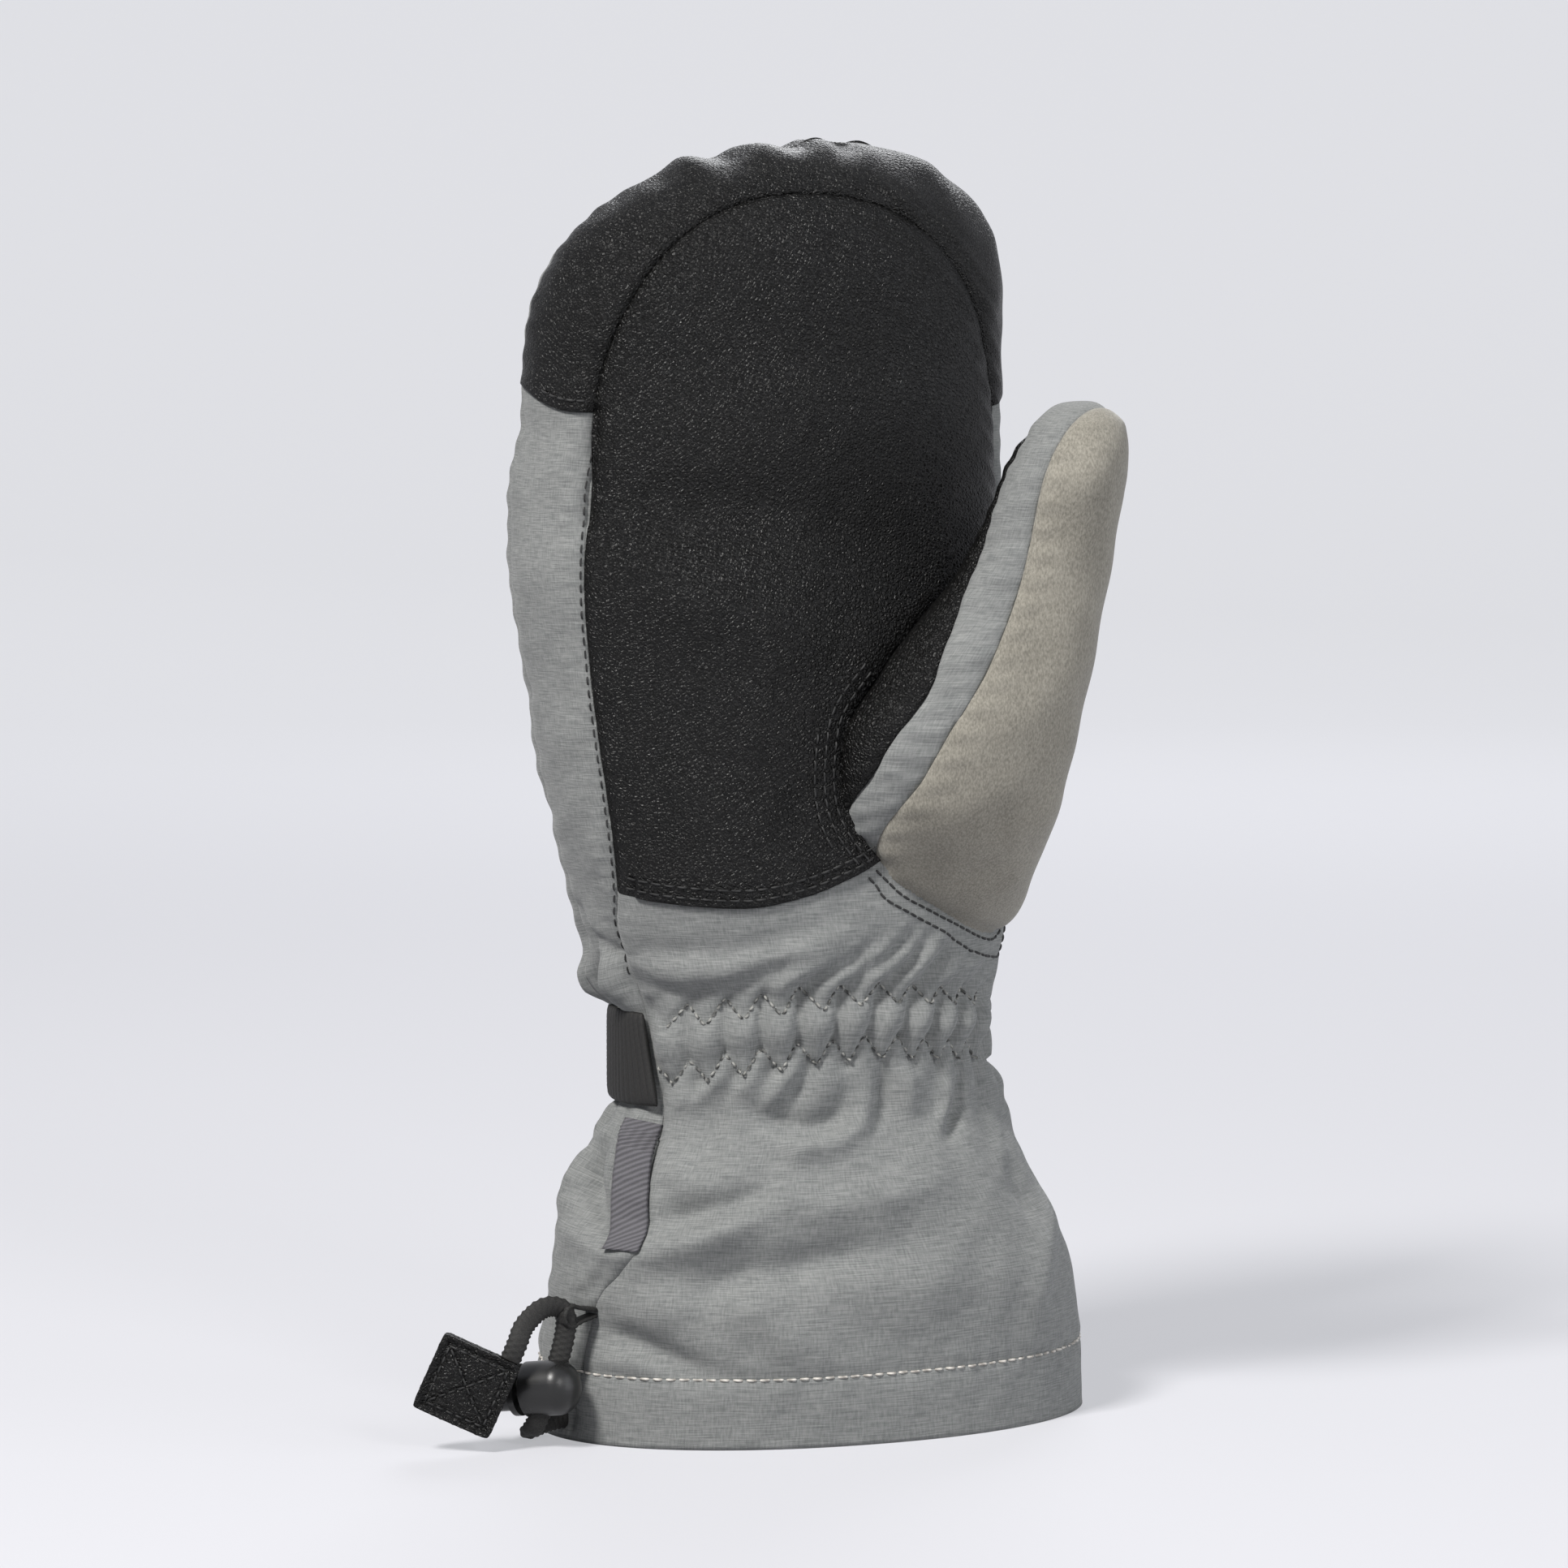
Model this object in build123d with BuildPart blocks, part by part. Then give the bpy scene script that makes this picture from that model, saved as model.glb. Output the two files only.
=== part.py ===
"""Insulated ski mitten for the right hand, standing on its gauntlet hem.

Millimetres. +Z points from the hem to the fingertips, +X to the thumb side,
+Y to the back of the hand and -Y to the palm. The origin is the centre of the
hem opening, on the plane that the mitten stands on.
"""

import os
from math import acos, cos, radians, sin, tan

from build123d import *

os.makedirs("parts", exist_ok=True)

# ---------------------------------------------------------------- outer shape
hem_width = 141.0
hem_depth = 90.0
flare_height = 34.0          # the gauntlet is almost straight up to here
flare_width = 136.0
flare_depth = 88.0
crease_height = 39.0         # the gauntlet's soft fold: drawn in here,
crease_width = 130.2
crease_depth = 83.6
roll_height = 52.0           # and full again here
roll_width = 126.4
roll_depth = 83.6
cuff_height = 62.0           # half way down the slope from wrist to gauntlet
cuff_width = 117.0
cuff_depth = 77.0
wrist_height = 92.0
wrist_width = 96.0
wrist_depth = 62.0
wrist_band = 12.0            # the waist stays this straight, up and down
wrist_shift = -3.0
heel_height = 150.0
heel_width = 119.0
heel_depth = 68.0
heel_shift = -6.5
knuckle_height = 228.0
knuckle_width = 129.0
knuckle_depth = 60.0
knuckle_shift = -13.5
finger_height = 315.0
finger_shift = -8.0
finger_curl = -4.0
dome_power = 2.5

# --------------------------------------------------------------------- layers
shell = 1.2
membrane = 0.5
lining = 1.2
back_fill = 9.0
palm_fill = 5.0
side_fill = 7.0
gauntlet_fill = 1.6
thumb_fill_thickness = 3.2

# --------------------------------------------------------------- panel seams
palm_seam = -14.0            # gauntlet side seams, towards the palm from centre
back_seam = 5.0              # back edge of the side gussets and finger cap
patch_half_width = 55.0
patch_top = 301.0
patch_bottom = 132.0
patch_sag = 5.0              # the lower edge of the palm patch bows down
cap_edge = 252.0             # lower edge of the leather finger cap
gusset_bottom = 104.0

# ----------------------------------------------------------------------- hem
hem_height = 17.0
hem_cord_size = 2.6
hem_cord_height = 5.0
cord_clearance = 0.4

# ---------------------------------------------------------------------- wrist
elastic_height = 6.0
elastic_thickness = 0.8
elastic_gap = 16.0           # between the centre lines of the two elastics
strap_width = 23.0
strap_thickness = 1.6
soft_gap = 0.3
strap_start = 24.0           # degrees past the palm seam side, little finger edge
buckle_angle = 38.0          # buckle centre, degrees from +X towards the back
buckle_length = 25.0
buckle_bar = 3.0
buckle_thickness = 3.4
buckle_wall = 3.4
tail_sweep = 58.0             # degrees of the waist that the loose tail covers
tail_thickness = 1.5

# ---------------------------------------------------------------------- label
label_width = 9.5
label_height = 32.0
label_bottom = 45.0
label_thickness = 0.8

# ---------------------------------------------------------------------- thumb
thumb_turn = -22.0           # the thumb's flat side, turned about +Z
thumb_root_height = 112.0
thumb_root = (20.0, -11.0)
thumb_root_width = 36.0
thumb_root_depth = 22.0
thumb_ball_height = 156.0
thumb_ball = (25.5, -28.0)
thumb_ball_width = 54.0
thumb_ball_depth = 36.0
thumb_bend_height = 188.0
thumb_bend = (31.0, -38.0)
thumb_bend_width = 49.0
thumb_bend_depth = 35.0
thumb_tip_height = 230.0
thumb_tip = (46.6, -45.0)
thumb_tip_width = 30.4
thumb_tip_depth = 30.0
thumb_top = 252.5
thumb_lean = 5.5
thumb_crook = (8.0, -37.5, 190.0)                   # where the thumb leaves the palm
thumb_along = (0.41, -0.15, 0.9)                    # along the thumb, at that place
thumb_axis = (0.5, -0.866, 0.0)
thumb_reach = 20.0           # degrees from rest to full grip
thumb_gap = 0.4

# ----------------------------------------------------------- draw cord and lock
cord_size = 3.6
keeper_wall = 1.3
keeper_width = 3.0
lock_back = 5.6              # from the cord hole to the lock's open end
lock_end_wall = 1.3
lock_diameter = 13.4
lock_bore = 7.8
plunger_clearance = 0.2
plunger_travel = 1.5
plunger_length = 19.0
plunger_nose = 0.8           # past the plunger's cross hole
flange_diameter = 12.6
button_diameter = 10.0
flange_thickness = 1.6
spring_length = 2.0          # at rest
spring_wire = 0.6
tab_width = 20.0
tab_height = 19.5
tab_thickness = 3.8
tab_entry = 7.0              # cord's entry, off the middle of the tab's top edge


# ------------------------------------------------------------------ body form
def body_stations():
    """Height, sideways shift, width and depth of each cross-section below the fingers."""
    between = (heel_height + knuckle_height) / 2
    return [
        (0.0, 0.0, hem_width, hem_depth),
        (flare_height, 0.0, flare_width, flare_depth),
        (crease_height, 0.0, crease_width, crease_depth),
        (roll_height, wrist_shift / 4, roll_width, roll_depth),
        (cuff_height, wrist_shift / 2, cuff_width, cuff_depth),
        (wrist_height - wrist_band, wrist_shift, wrist_width + 2, wrist_depth + 1),
        (wrist_height, wrist_shift, wrist_width, wrist_depth),
        (wrist_height + wrist_band, wrist_shift, wrist_width + 2, wrist_depth + 1),
        (heel_height, heel_shift, heel_width, heel_depth),
        (between, (heel_shift + knuckle_shift) / 2,
         (heel_width + knuckle_width) / 2 + 2, (heel_depth + knuckle_depth) / 2 + 1),
        (knuckle_height, knuckle_shift, knuckle_width, knuckle_depth),
    ]


def fullness(height):
    """Share of the full filling at a height: little in the gauntlet, all of it in the hand."""
    low, high = wrist_height - wrist_band, heel_height
    return min(1.0, max(0.0, (height - low) / (high - low)))


def body_form(skin, filled=False):
    """Solid of the mitten's outer surface, drawn in by skin and, if filled, by the filling."""
    sections = []

    def section(height, shift, curl, width, depth):
        side = back = palm = 0.0
        if filled:
            share = fullness(height)
            side = gauntlet_fill + share * (side_fill - gauntlet_fill)
            back = gauntlet_fill + share * (back_fill - gauntlet_fill)
            palm = gauntlet_fill + share * (palm_fill - gauntlet_fill)
        start = -skin if height == 0 and skin > 0 else height
        with BuildSketch(Plane.XY.offset(start)) as cut:
            with Locations((shift, curl + (palm - back) / 2)):
                Ellipse(width / 2 - skin - side, depth / 2 - skin - (back + palm) / 2)
        sections.append(cut.sketch.faces()[0])

    for height, shift, width, depth in body_stations():
        section(height, shift, 0.0, width, depth)
    top_fill = side_fill if filled else 0.0
    dome = finger_height - knuckle_height - skin - top_fill
    for rise in (0.3, 0.55, 0.75, 0.88, 0.96, 0.995):
        narrow = (1 - rise**dome_power) ** (1 / dome_power)
        height = knuckle_height + dome * rise
        shift = knuckle_shift + (finger_shift - knuckle_shift) * rise
        side = skin + (side_fill if filled else 0.0)
        flat = skin + ((back_fill + palm_fill) / 2 if filled else 0.0)
        across = (knuckle_width / 2 - side) * narrow
        through = (knuckle_depth / 2 - flat) * narrow
        centre = finger_curl * rise + ((palm_fill - back_fill) / 2 * narrow if filled else 0.0)
        with BuildSketch(Plane.XY.offset(height)) as cut:
            with Locations((shift, centre)):
                Ellipse(across, through)
        sections.append(cut.sketch.faces()[0])
    with BuildPart() as form:
        loft(sections=sections, ruled=True)
    return form.part


# ----------------------------------------------------------------- thumb form
def thumb_form(inset):
    """Solid of the thumb's outer surface drawn in by inset, from its root to its tip."""
    middle = (thumb_bend_height + thumb_tip_height) / 2
    stations = [
        (thumb_root_height, thumb_root, thumb_root_width, thumb_root_depth),
        ((thumb_root_height + thumb_ball_height) / 2,
         ((thumb_root[0] + thumb_ball[0]) / 2, (thumb_root[1] + thumb_ball[1]) / 2),
         (thumb_root_width + thumb_ball_width) / 2 + 1, (thumb_root_depth + thumb_ball_depth) / 2 + 2),
        (thumb_ball_height, thumb_ball, thumb_ball_width, thumb_ball_depth),
        (thumb_bend_height, thumb_bend, thumb_bend_width, thumb_bend_depth),
        (middle, ((thumb_bend[0] + thumb_tip[0]) / 2 + 2.6, (thumb_bend[1] + thumb_tip[1]) / 2),
         (thumb_bend_width + thumb_tip_width) / 2 - 3.4, (thumb_bend_depth + thumb_tip_depth) / 2),
        (thumb_tip_height, thumb_tip, thumb_tip_width, thumb_tip_depth),
    ]
    sections = []
    for height, centre, width, depth in stations:
        with BuildSketch(Plane.XY.offset(height)) as cut:
            with Locations(centre):
                Ellipse(width / 2 - inset, depth / 2 - inset, rotation=thumb_turn)
        sections.append(cut.sketch.faces()[0])
    dome = thumb_top - thumb_tip_height - inset
    for rise in (0.35, 0.65, 0.86, 0.97):
        narrow = (1 - rise**2.3) ** (1 / 2.3)
        centre = (thumb_tip[0] + thumb_lean * rise, thumb_tip[1] - 1.5 * rise)
        with BuildSketch(Plane.XY.offset(thumb_tip_height + dome * rise)) as cut:
            with Locations(centre):
                Ellipse((thumb_tip_width / 2 - inset) * narrow,
                        (thumb_tip_depth / 2 - inset) * narrow, rotation=thumb_turn)
        sections.append(cut.sketch.faces()[0])
    with BuildPart() as form:
        loft(sections=sections, ruled=True)
    return form.part


outer = body_form(0)
shell_inner = body_form(shell)
fill_inner = body_form(shell, filled=True)
membrane_inner = body_form(shell + membrane, filled=True)
cavity = body_form(shell + membrane + lining, filled=True)

thumb_outer = thumb_form(0)
thumb_shell_inner = thumb_form(shell)
thumb_fill_inner = thumb_form(shell + thumb_fill_thickness)
thumb_membrane_inner = thumb_form(shell + thumb_fill_thickness + membrane)
thumb_cavity = thumb_form(shell + thumb_fill_thickness + membrane + lining)


# ------------------------------------------------------------- cutting regions
reach = finger_height                       # larger than the mitten in every direction


def region(x0, x1, y0, y1, z0, z1):
    """Box between two corners."""
    with BuildPart() as box:
        with Locations(((x0 + x1) / 2, (y0 + y1) / 2, (z0 + z1) / 2)):
            Box(x1 - x0, y1 - y0, z1 - z0)
    return box.part


palm_side = region(-reach, reach, -reach, palm_seam, hem_height, 2 * reach)
above_hem = region(-reach, reach, -reach, reach, hem_height, 2 * reach)
hem_zone = region(-reach, reach, -reach, reach, -reach, hem_height)

with BuildPart() as patch_region:
    with BuildSketch(Plane.XZ) as patch_outline:
        with BuildLine():
            left = knuckle_shift + 3.5 - patch_half_width
            right = knuckle_shift + 3.5 + patch_half_width
            middle = (left + right) / 2
            ThreePointArc((left, patch_bottom), (middle, patch_bottom - patch_sag),
                          (right, patch_bottom))
            Line((right, patch_bottom), (right, knuckle_height))
            EllipticalCenterArc((middle, knuckle_height), patch_half_width,
                                patch_top - knuckle_height, start_angle=0, arc_size=180)
            Line((left, knuckle_height), (left, patch_bottom))
        make_face()
    extrude(amount=reach)


def finish(part, name):
    """Label a piece and write its STEP file."""
    part.label = name
    export_step(part, f"parts/{name}.step")


# ----------------------------------------------------------- shell of the hand
with BuildPart() as shell_skin:
    add(outer)
    add(shell_inner, mode=Mode.SUBTRACT)
    add(above_hem, mode=Mode.INTERSECT)
    add(thumb_cavity, mode=Mode.SUBTRACT)

with BuildPart() as palm_patch:
    add(shell_skin.part)
    add(patch_region.part, mode=Mode.INTERSECT)
finish(palm_patch.part, "palm_patch")

with BuildPart() as outside_patch:
    add(shell_skin.part)
    add(patch_region.part, mode=Mode.SUBTRACT)

with BuildPart() as back_panel:
    add(outside_patch.part)
    add(region(-reach, reach, back_seam, reach, gusset_bottom, 2 * reach), mode=Mode.INTERSECT)
finish(back_panel.part, "back_panel")

with BuildPart() as finger_cap:
    add(outside_patch.part)
    add(region(-reach, reach, -reach, back_seam, cap_edge, 2 * reach), mode=Mode.INTERSECT)
finish(finger_cap.part, "finger_cap")

with BuildPart() as gauntlet_palm:
    add(outside_patch.part)
    add(region(-reach, reach, -reach, palm_seam, hem_height, patch_bottom), mode=Mode.INTERSECT)
finish(gauntlet_palm.part, "gauntlet_palm")

with BuildPart() as gauntlet_back:
    add(outside_patch.part)
    add(region(-reach, reach, palm_seam, reach, hem_height, gusset_bottom), mode=Mode.INTERSECT)
finish(gauntlet_back.part, "gauntlet_back")

with BuildPart() as gusset_ring:
    add(outside_patch.part)
    add(region(-reach, reach, -reach, back_seam, gusset_bottom, cap_edge), mode=Mode.INTERSECT)
    add(region(-reach, reach, -reach, palm_seam, hem_height, patch_bottom), mode=Mode.SUBTRACT)

with BuildPart() as side_gusset:
    add(gusset_ring.part)
    add(region(-reach, knuckle_shift, -reach, reach, 0, reach), mode=Mode.INTERSECT)
finish(side_gusset.part, "side_gusset")

with BuildPart() as thumb_side_gusset:
    add(gusset_ring.part)
    add(region(knuckle_shift, reach, -reach, reach, 0, reach), mode=Mode.INTERSECT)
finish(thumb_side_gusset.part, "thumb_side_gusset")


# ------------------------------------------------- elastics, filling and linings
with BuildPart() as elastic_form:
    add(body_form(shell))
    add(body_form(shell + elastic_thickness), mode=Mode.SUBTRACT)
    add(region(-reach, reach, -reach, palm_seam, 0, 2 * reach), mode=Mode.INTERSECT)

elastics = []
for name, side in (("wrist_elastic_upper", 1), ("wrist_elastic_lower", -1)):
    middle = wrist_height + side * elastic_gap / 2
    with BuildPart() as elastic:
        add(elastic_form.part)
        add(region(-reach, reach, -reach, reach, middle - elastic_height / 2,
                   middle + elastic_height / 2), mode=Mode.INTERSECT)
    finish(elastic.part, name)
    elastics.append(elastic.part)

with BuildPart() as filling:
    add(shell_inner)
    add(fill_inner, mode=Mode.SUBTRACT)
    add(above_hem, mode=Mode.INTERSECT)
    add(thumb_cavity, mode=Mode.SUBTRACT)

with BuildPart() as fill_palm:
    add(filling.part)
    add(palm_side, mode=Mode.INTERSECT)
    for band in elastics:
        add(band, mode=Mode.SUBTRACT)
finish(fill_palm.part, "fill_palm")

with BuildPart() as fill_back:
    add(filling.part)
    add(palm_side, mode=Mode.SUBTRACT)
finish(fill_back.part, "fill_back")

with BuildPart() as membrane_insert:
    add(fill_inner)
    add(membrane_inner, mode=Mode.SUBTRACT)
    add(above_hem, mode=Mode.INTERSECT)
    add(thumb_cavity, mode=Mode.SUBTRACT)
finish(membrane_insert.part, "membrane_insert")

with BuildPart() as lining_skin:
    add(membrane_inner)
    add(cavity, mode=Mode.SUBTRACT)
    add(above_hem, mode=Mode.INTERSECT)
    add(thumb_cavity, mode=Mode.SUBTRACT)

with BuildPart() as lining_hand:
    add(lining_skin.part)
    add(region(-reach, reach, -reach, reach, wrist_height, 2 * reach), mode=Mode.INTERSECT)
finish(lining_hand.part, "lining_hand")

with BuildPart() as lining_gauntlet:
    add(lining_skin.part)
    add(region(-reach, reach, -reach, reach, 0, wrist_height), mode=Mode.INTERSECT)
finish(lining_gauntlet.part, "lining_gauntlet")


# ------------------------------------------------------------------ hem and cord
def surface_point(height, angle, out):
    """Point at a height, angle degrees from -Y towards -X, out from the gauntlet's surface."""
    half_width, half_depth = hem_width / 2, hem_depth / 2
    share = height / flare_height
    half_width += share * (flare_width / 2 - half_width)
    half_depth += share * (flare_depth / 2 - half_depth)
    x, y = -half_width * sin(radians(angle)), -half_depth * cos(radians(angle))
    normal = Vector(x / half_width**2, y / half_depth**2, 0).normalized()
    return Vector(x, y, height) + normal * out


hem_cord_inset = shell + cord_clearance + 0.6       # outer face of the cord from the hem's face
exit_angle = 78.0                                   # where the cord leaves the hem
hem_exit = surface_point(hem_cord_height, exit_angle, -hem_cord_inset + cord_clearance)
exit_outside = surface_point(hem_cord_height, exit_angle, 8.0)
exit_direction = (exit_outside - hem_exit).normalized()


def hem_ring(spread, bottom, height):
    """Elliptical ring along the hem, as wide as the cord and spread wider on each face."""
    with BuildPart() as ring:
        with BuildSketch(Plane.XY.offset(bottom)):
            Ellipse(hem_width / 2 - hem_cord_inset + spread, hem_depth / 2 - hem_cord_inset + spread)
            Ellipse(hem_width / 2 - hem_cord_inset - hem_cord_size - spread,
                    hem_depth / 2 - hem_cord_inset - hem_cord_size - spread, mode=Mode.SUBTRACT)
        extrude(amount=height)
    return ring.part


cord_bottom = hem_cord_height - hem_cord_size / 2
with BuildPart() as hem_cord:
    add(hem_ring(0, cord_bottom, hem_cord_size))
finish(hem_cord.part, "hem_cord")

with BuildPart() as hem_band:
    add(outer)
    add(cavity, mode=Mode.SUBTRACT)
    add(hem_zone, mode=Mode.INTERSECT)
    add(hem_ring(cord_clearance, cord_bottom - cord_clearance,
                 hem_cord_size + 2 * cord_clearance), mode=Mode.SUBTRACT)
    with BuildSketch(Plane(hem_exit, z_dir=exit_direction)):
        Circle(cord_size / 2 + cord_clearance)
    extrude(amount=10, mode=Mode.SUBTRACT)
finish(hem_band.part, "hem_band")


# --------------------------------------------------- draw cord, keeper, lock, tab
# The cord leaves the hem, rises through the lock, turns in the keeper and hangs
# down into the pull tab. Its points are listed along that way.
lock_centre = Vector(-76.0, -19.2, 14.5)            # where the cord crosses the lock
keeper_turn = Vector(-69.4, -18.2, 32.0)
rise_direction = (keeper_turn - lock_centre).normalized()
tab_across = Vector(0.8445, -0.3416, -0.412).normalized()
tab_facing = Vector(-0.375, -0.927, 0.0)
tab_normal = (tab_facing - tab_across * tab_facing.dot(tab_across)).normalized()
tab_down = tab_across.cross(tab_normal).normalized()
tab_top = Vector(-87.0, -21.8, 22.4)                # where the cord enters the tab

route = [
    hem_exit,
    hem_exit + exit_direction * 7.0,
    Vector(-80.2, -14.0, 3.2),
    lock_centre - rise_direction * 10.0,
    keeper_turn,
    Vector(-76.4, -18.8, 35.2),
    Vector(-83.0, -20.2, 30.6),
    tab_top - tab_down * 4.5,
    tab_top,
]


def bend_radii(points):
    """Radius at each inner point: 0.45 of its shorter run, over the tangent of half the turn."""
    found = []
    for before, here, after in zip(points, points[1:], points[2:]):
        half_turn = radians((here - before).get_angle(after - here)) / 2
        shorter = min((here - before).length, (after - here).length)
        found.append(0.45 * shorter * cos(half_turn) / sin(half_turn))
    return found


radii = bend_radii(route)
print("draw cord bends", [round(r, 1) for r in radii])
with BuildPart() as drawcord:
    with BuildLine() as cord_path:
        FilletPolyline(*route, radius=radii)
    with BuildSketch(Plane(hem_exit, z_dir=exit_direction)):
        Circle(cord_size / 2)
    sweep(path=cord_path.line)
cord_length = sum(edge.length for edge in cord_path.line.edges())
print("draw cord length", round(cord_length, 1), "volume against section times length",
      round(drawcord.part.volume / (3.14159 * cord_size**2 / 4 * cord_length), 4))
finish(drawcord.part, "drawcord")

# The lock's barrel is closed by a dome at its front and open at its back.
# The cord crosses it at a slant.
lock_axis = Vector(0.715, -0.688, 0.12).normalized()
slant = radians(90) - acos(lock_axis.dot(rise_direction))
across_cord = (lock_axis - rise_direction * lock_axis.dot(rise_direction)).normalized()
lock_plane = Plane(lock_centre, z_dir=lock_axis, x_dir=across_cord.cross(rise_direction))
profile_plane = Plane(lock_centre, x_dir=lock_plane.x_dir, z_dir=-lock_plane.y_dir)
cross_plane = Plane(lock_centre - rise_direction * lock_diameter, x_dir=across_cord,
                    z_dir=rise_direction)
hole_radius = cord_size / 2 + cord_clearance
plunger_radius = lock_bore / 2 - plunger_clearance
nose_end = hole_radius / cos(slant) + plunger_radius * tan(slant) + plunger_nose
bore_end = nose_end + spring_length
lock_front = bore_end + lock_end_wall
lock_radius = lock_diameter / 2
dome_start = hole_radius
with BuildPart() as lock_barrel:
    with BuildSketch(profile_plane):
        with BuildLine():
            Line((0, -lock_back), (lock_radius, -lock_back))
            Line((lock_radius, -lock_back), (lock_radius, dome_start))
            EllipticalCenterArc((0, dome_start), lock_radius, lock_front - dome_start,
                                start_angle=0, arc_size=90)
            Line((0, lock_front), (0, -lock_back))
        make_face()
    revolve(axis=Axis(lock_centre, lock_axis))
    with BuildSketch(lock_plane.offset(-lock_back)):
        Circle(lock_bore / 2)
    extrude(amount=lock_back + bore_end, mode=Mode.SUBTRACT)
    with BuildSketch(cross_plane):
        Circle(hole_radius)
    extrude(amount=2 * lock_diameter, mode=Mode.SUBTRACT)
finish(lock_barrel.part, "lock_barrel")

# The plunger's cross hole is longer than the cord by the plunger's travel.
flange_front = -lock_back - plunger_travel - plunger_clearance
with BuildPart() as lock_plunger:
    with BuildSketch(lock_plane.offset(nose_end - plunger_length)):
        Circle(plunger_radius)
    extrude(amount=plunger_length)
    with BuildSketch(lock_plane.offset(flange_front - flange_thickness)):
        Circle(flange_diameter / 2)
    extrude(amount=flange_thickness)
    with BuildSketch(lock_plane.offset(nose_end - plunger_length)):
        Circle(button_diameter / 2)
    extrude(amount=plunger_length - nose_end + flange_front - flange_thickness)
    with BuildSketch(cross_plane):
        with Locations((-plunger_travel * cos(slant) / 2, 0)):
            SlotCenterToCenter(plunger_travel * cos(slant), 2 * hole_radius)
    extrude(amount=2 * lock_diameter, mode=Mode.SUBTRACT)
finish(lock_plunger.part, "lock_plunger")

with BuildPart() as lock_spring:
    with BuildSketch(lock_plane.offset(nose_end)):
        Circle(plunger_radius - plunger_clearance)
        Circle(plunger_radius - plunger_clearance - spring_wire, mode=Mode.SUBTRACT)
    extrude(amount=spring_length)
finish(lock_spring.part, "lock_spring")

tab_plane = Plane(tab_top - tab_across * tab_entry, x_dir=tab_across, z_dir=tab_normal)
with BuildPart() as pull_tab:
    with BuildSketch(tab_plane.offset(-tab_thickness / 2)):
        with Locations((0, tab_height / 2 if tab_plane.y_dir.dot(tab_down) > 0 else -tab_height / 2)):
            Rectangle(tab_width, tab_height)
    extrude(amount=tab_thickness)
finish(pull_tab.part, "pull_tab")

# The keeper is a loop of webbing round the cord's turn, sewn to the gauntlet.
turn_before = (keeper_turn - route[3]).normalized()
turn_after = (route[5] - keeper_turn).normalized()
turn_radius = radii[3]
half_angle = radians(turn_before.get_angle(turn_after)) / 2
inward = (turn_after - turn_before).normalized()
turn_middle = keeper_turn + inward * turn_radius * (1 / cos(half_angle) - 1)
turn_tangent = (turn_before + turn_after).normalized()
keeper_inner = cord_size / 2 + cord_clearance + 0.3
keeper_plane = Plane(turn_middle, x_dir=inward, z_dir=turn_tangent)
with BuildPart() as cord_keeper:
    with BuildSketch(keeper_plane.offset(-keeper_width / 2)):
        Circle(keeper_inner + keeper_wall)
        with Locations((-(keeper_inner + keeper_wall) / 2 - 2, 0)):
            Rectangle(keeper_inner + keeper_wall + 4, 2 * keeper_wall)
        Circle(keeper_inner, mode=Mode.SUBTRACT)
    extrude(amount=keeper_width)
    add(outer, mode=Mode.SUBTRACT)
finish(cord_keeper.part, "cord_keeper")


# ------------------------------------------------------------------ wrist strap
def wrist_point(angle, out):
    """Point on the straight waist, angle degrees from +X towards the back, and its normal."""
    half_width = wrist_width / 2 + 1
    half_depth = (wrist_depth + 1) / 2
    x, y = half_width * cos(radians(angle)), half_depth * sin(radians(angle))
    normal = Vector(x / half_width**2, y / half_depth**2, 0).normalized()
    return Vector(x + wrist_shift, y, wrist_height) + normal * out, normal


def wrist_band_piece(start, end, lift, thickness, width):
    """Band round the waist between two angles, lifted off the shell."""
    half_width = wrist_width / 2 + 1 + lift
    half_depth = (wrist_depth + 1) / 2 + lift
    steps = 6
    rim = [(wrist_shift + reach * cos(radians(start + (end - start) * i / steps)),
            reach * sin(radians(start + (end - start) * i / steps))) for i in range(steps + 1)]
    with BuildPart() as band:
        with BuildSketch(Plane.XY.offset(wrist_height - width / 2)):
            with Locations((wrist_shift, 0)):
                Ellipse(half_width + thickness, half_depth + thickness)
                Ellipse(half_width, half_depth, mode=Mode.SUBTRACT)
            with BuildSketch(mode=Mode.INTERSECT):
                with BuildLine():
                    Polyline((wrist_shift, 0), *rim, close=True)
                make_face()
        extrude(amount=width)
    return band.part


buckle_height = strap_width + 2 * buckle_wall + 1
lip_angle = buckle_angle + 12
strap_end_angle = buckle_angle + 2
with BuildPart() as wrist_strap:
    add(wrist_band_piece(strap_end_angle, 180 + strap_start, soft_gap, strap_thickness,
                         strap_width))
finish(wrist_strap.part, "wrist_strap")

tail_lift = soft_gap + strap_thickness + soft_gap
tail_end_angle = lip_angle + tail_sweep
with BuildPart() as strap_tail:
    add(wrist_band_piece(lip_angle, tail_end_angle, tail_lift, tail_thickness, strap_width - 1))
finish(strap_tail.part, "strap_tail")

with BuildPart() as strap_anchor:
    add(wrist_band_piece(-8, buckle_angle - 6, soft_gap, strap_thickness, strap_width - 1))
finish(strap_anchor.part, "strap_anchor")

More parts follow.
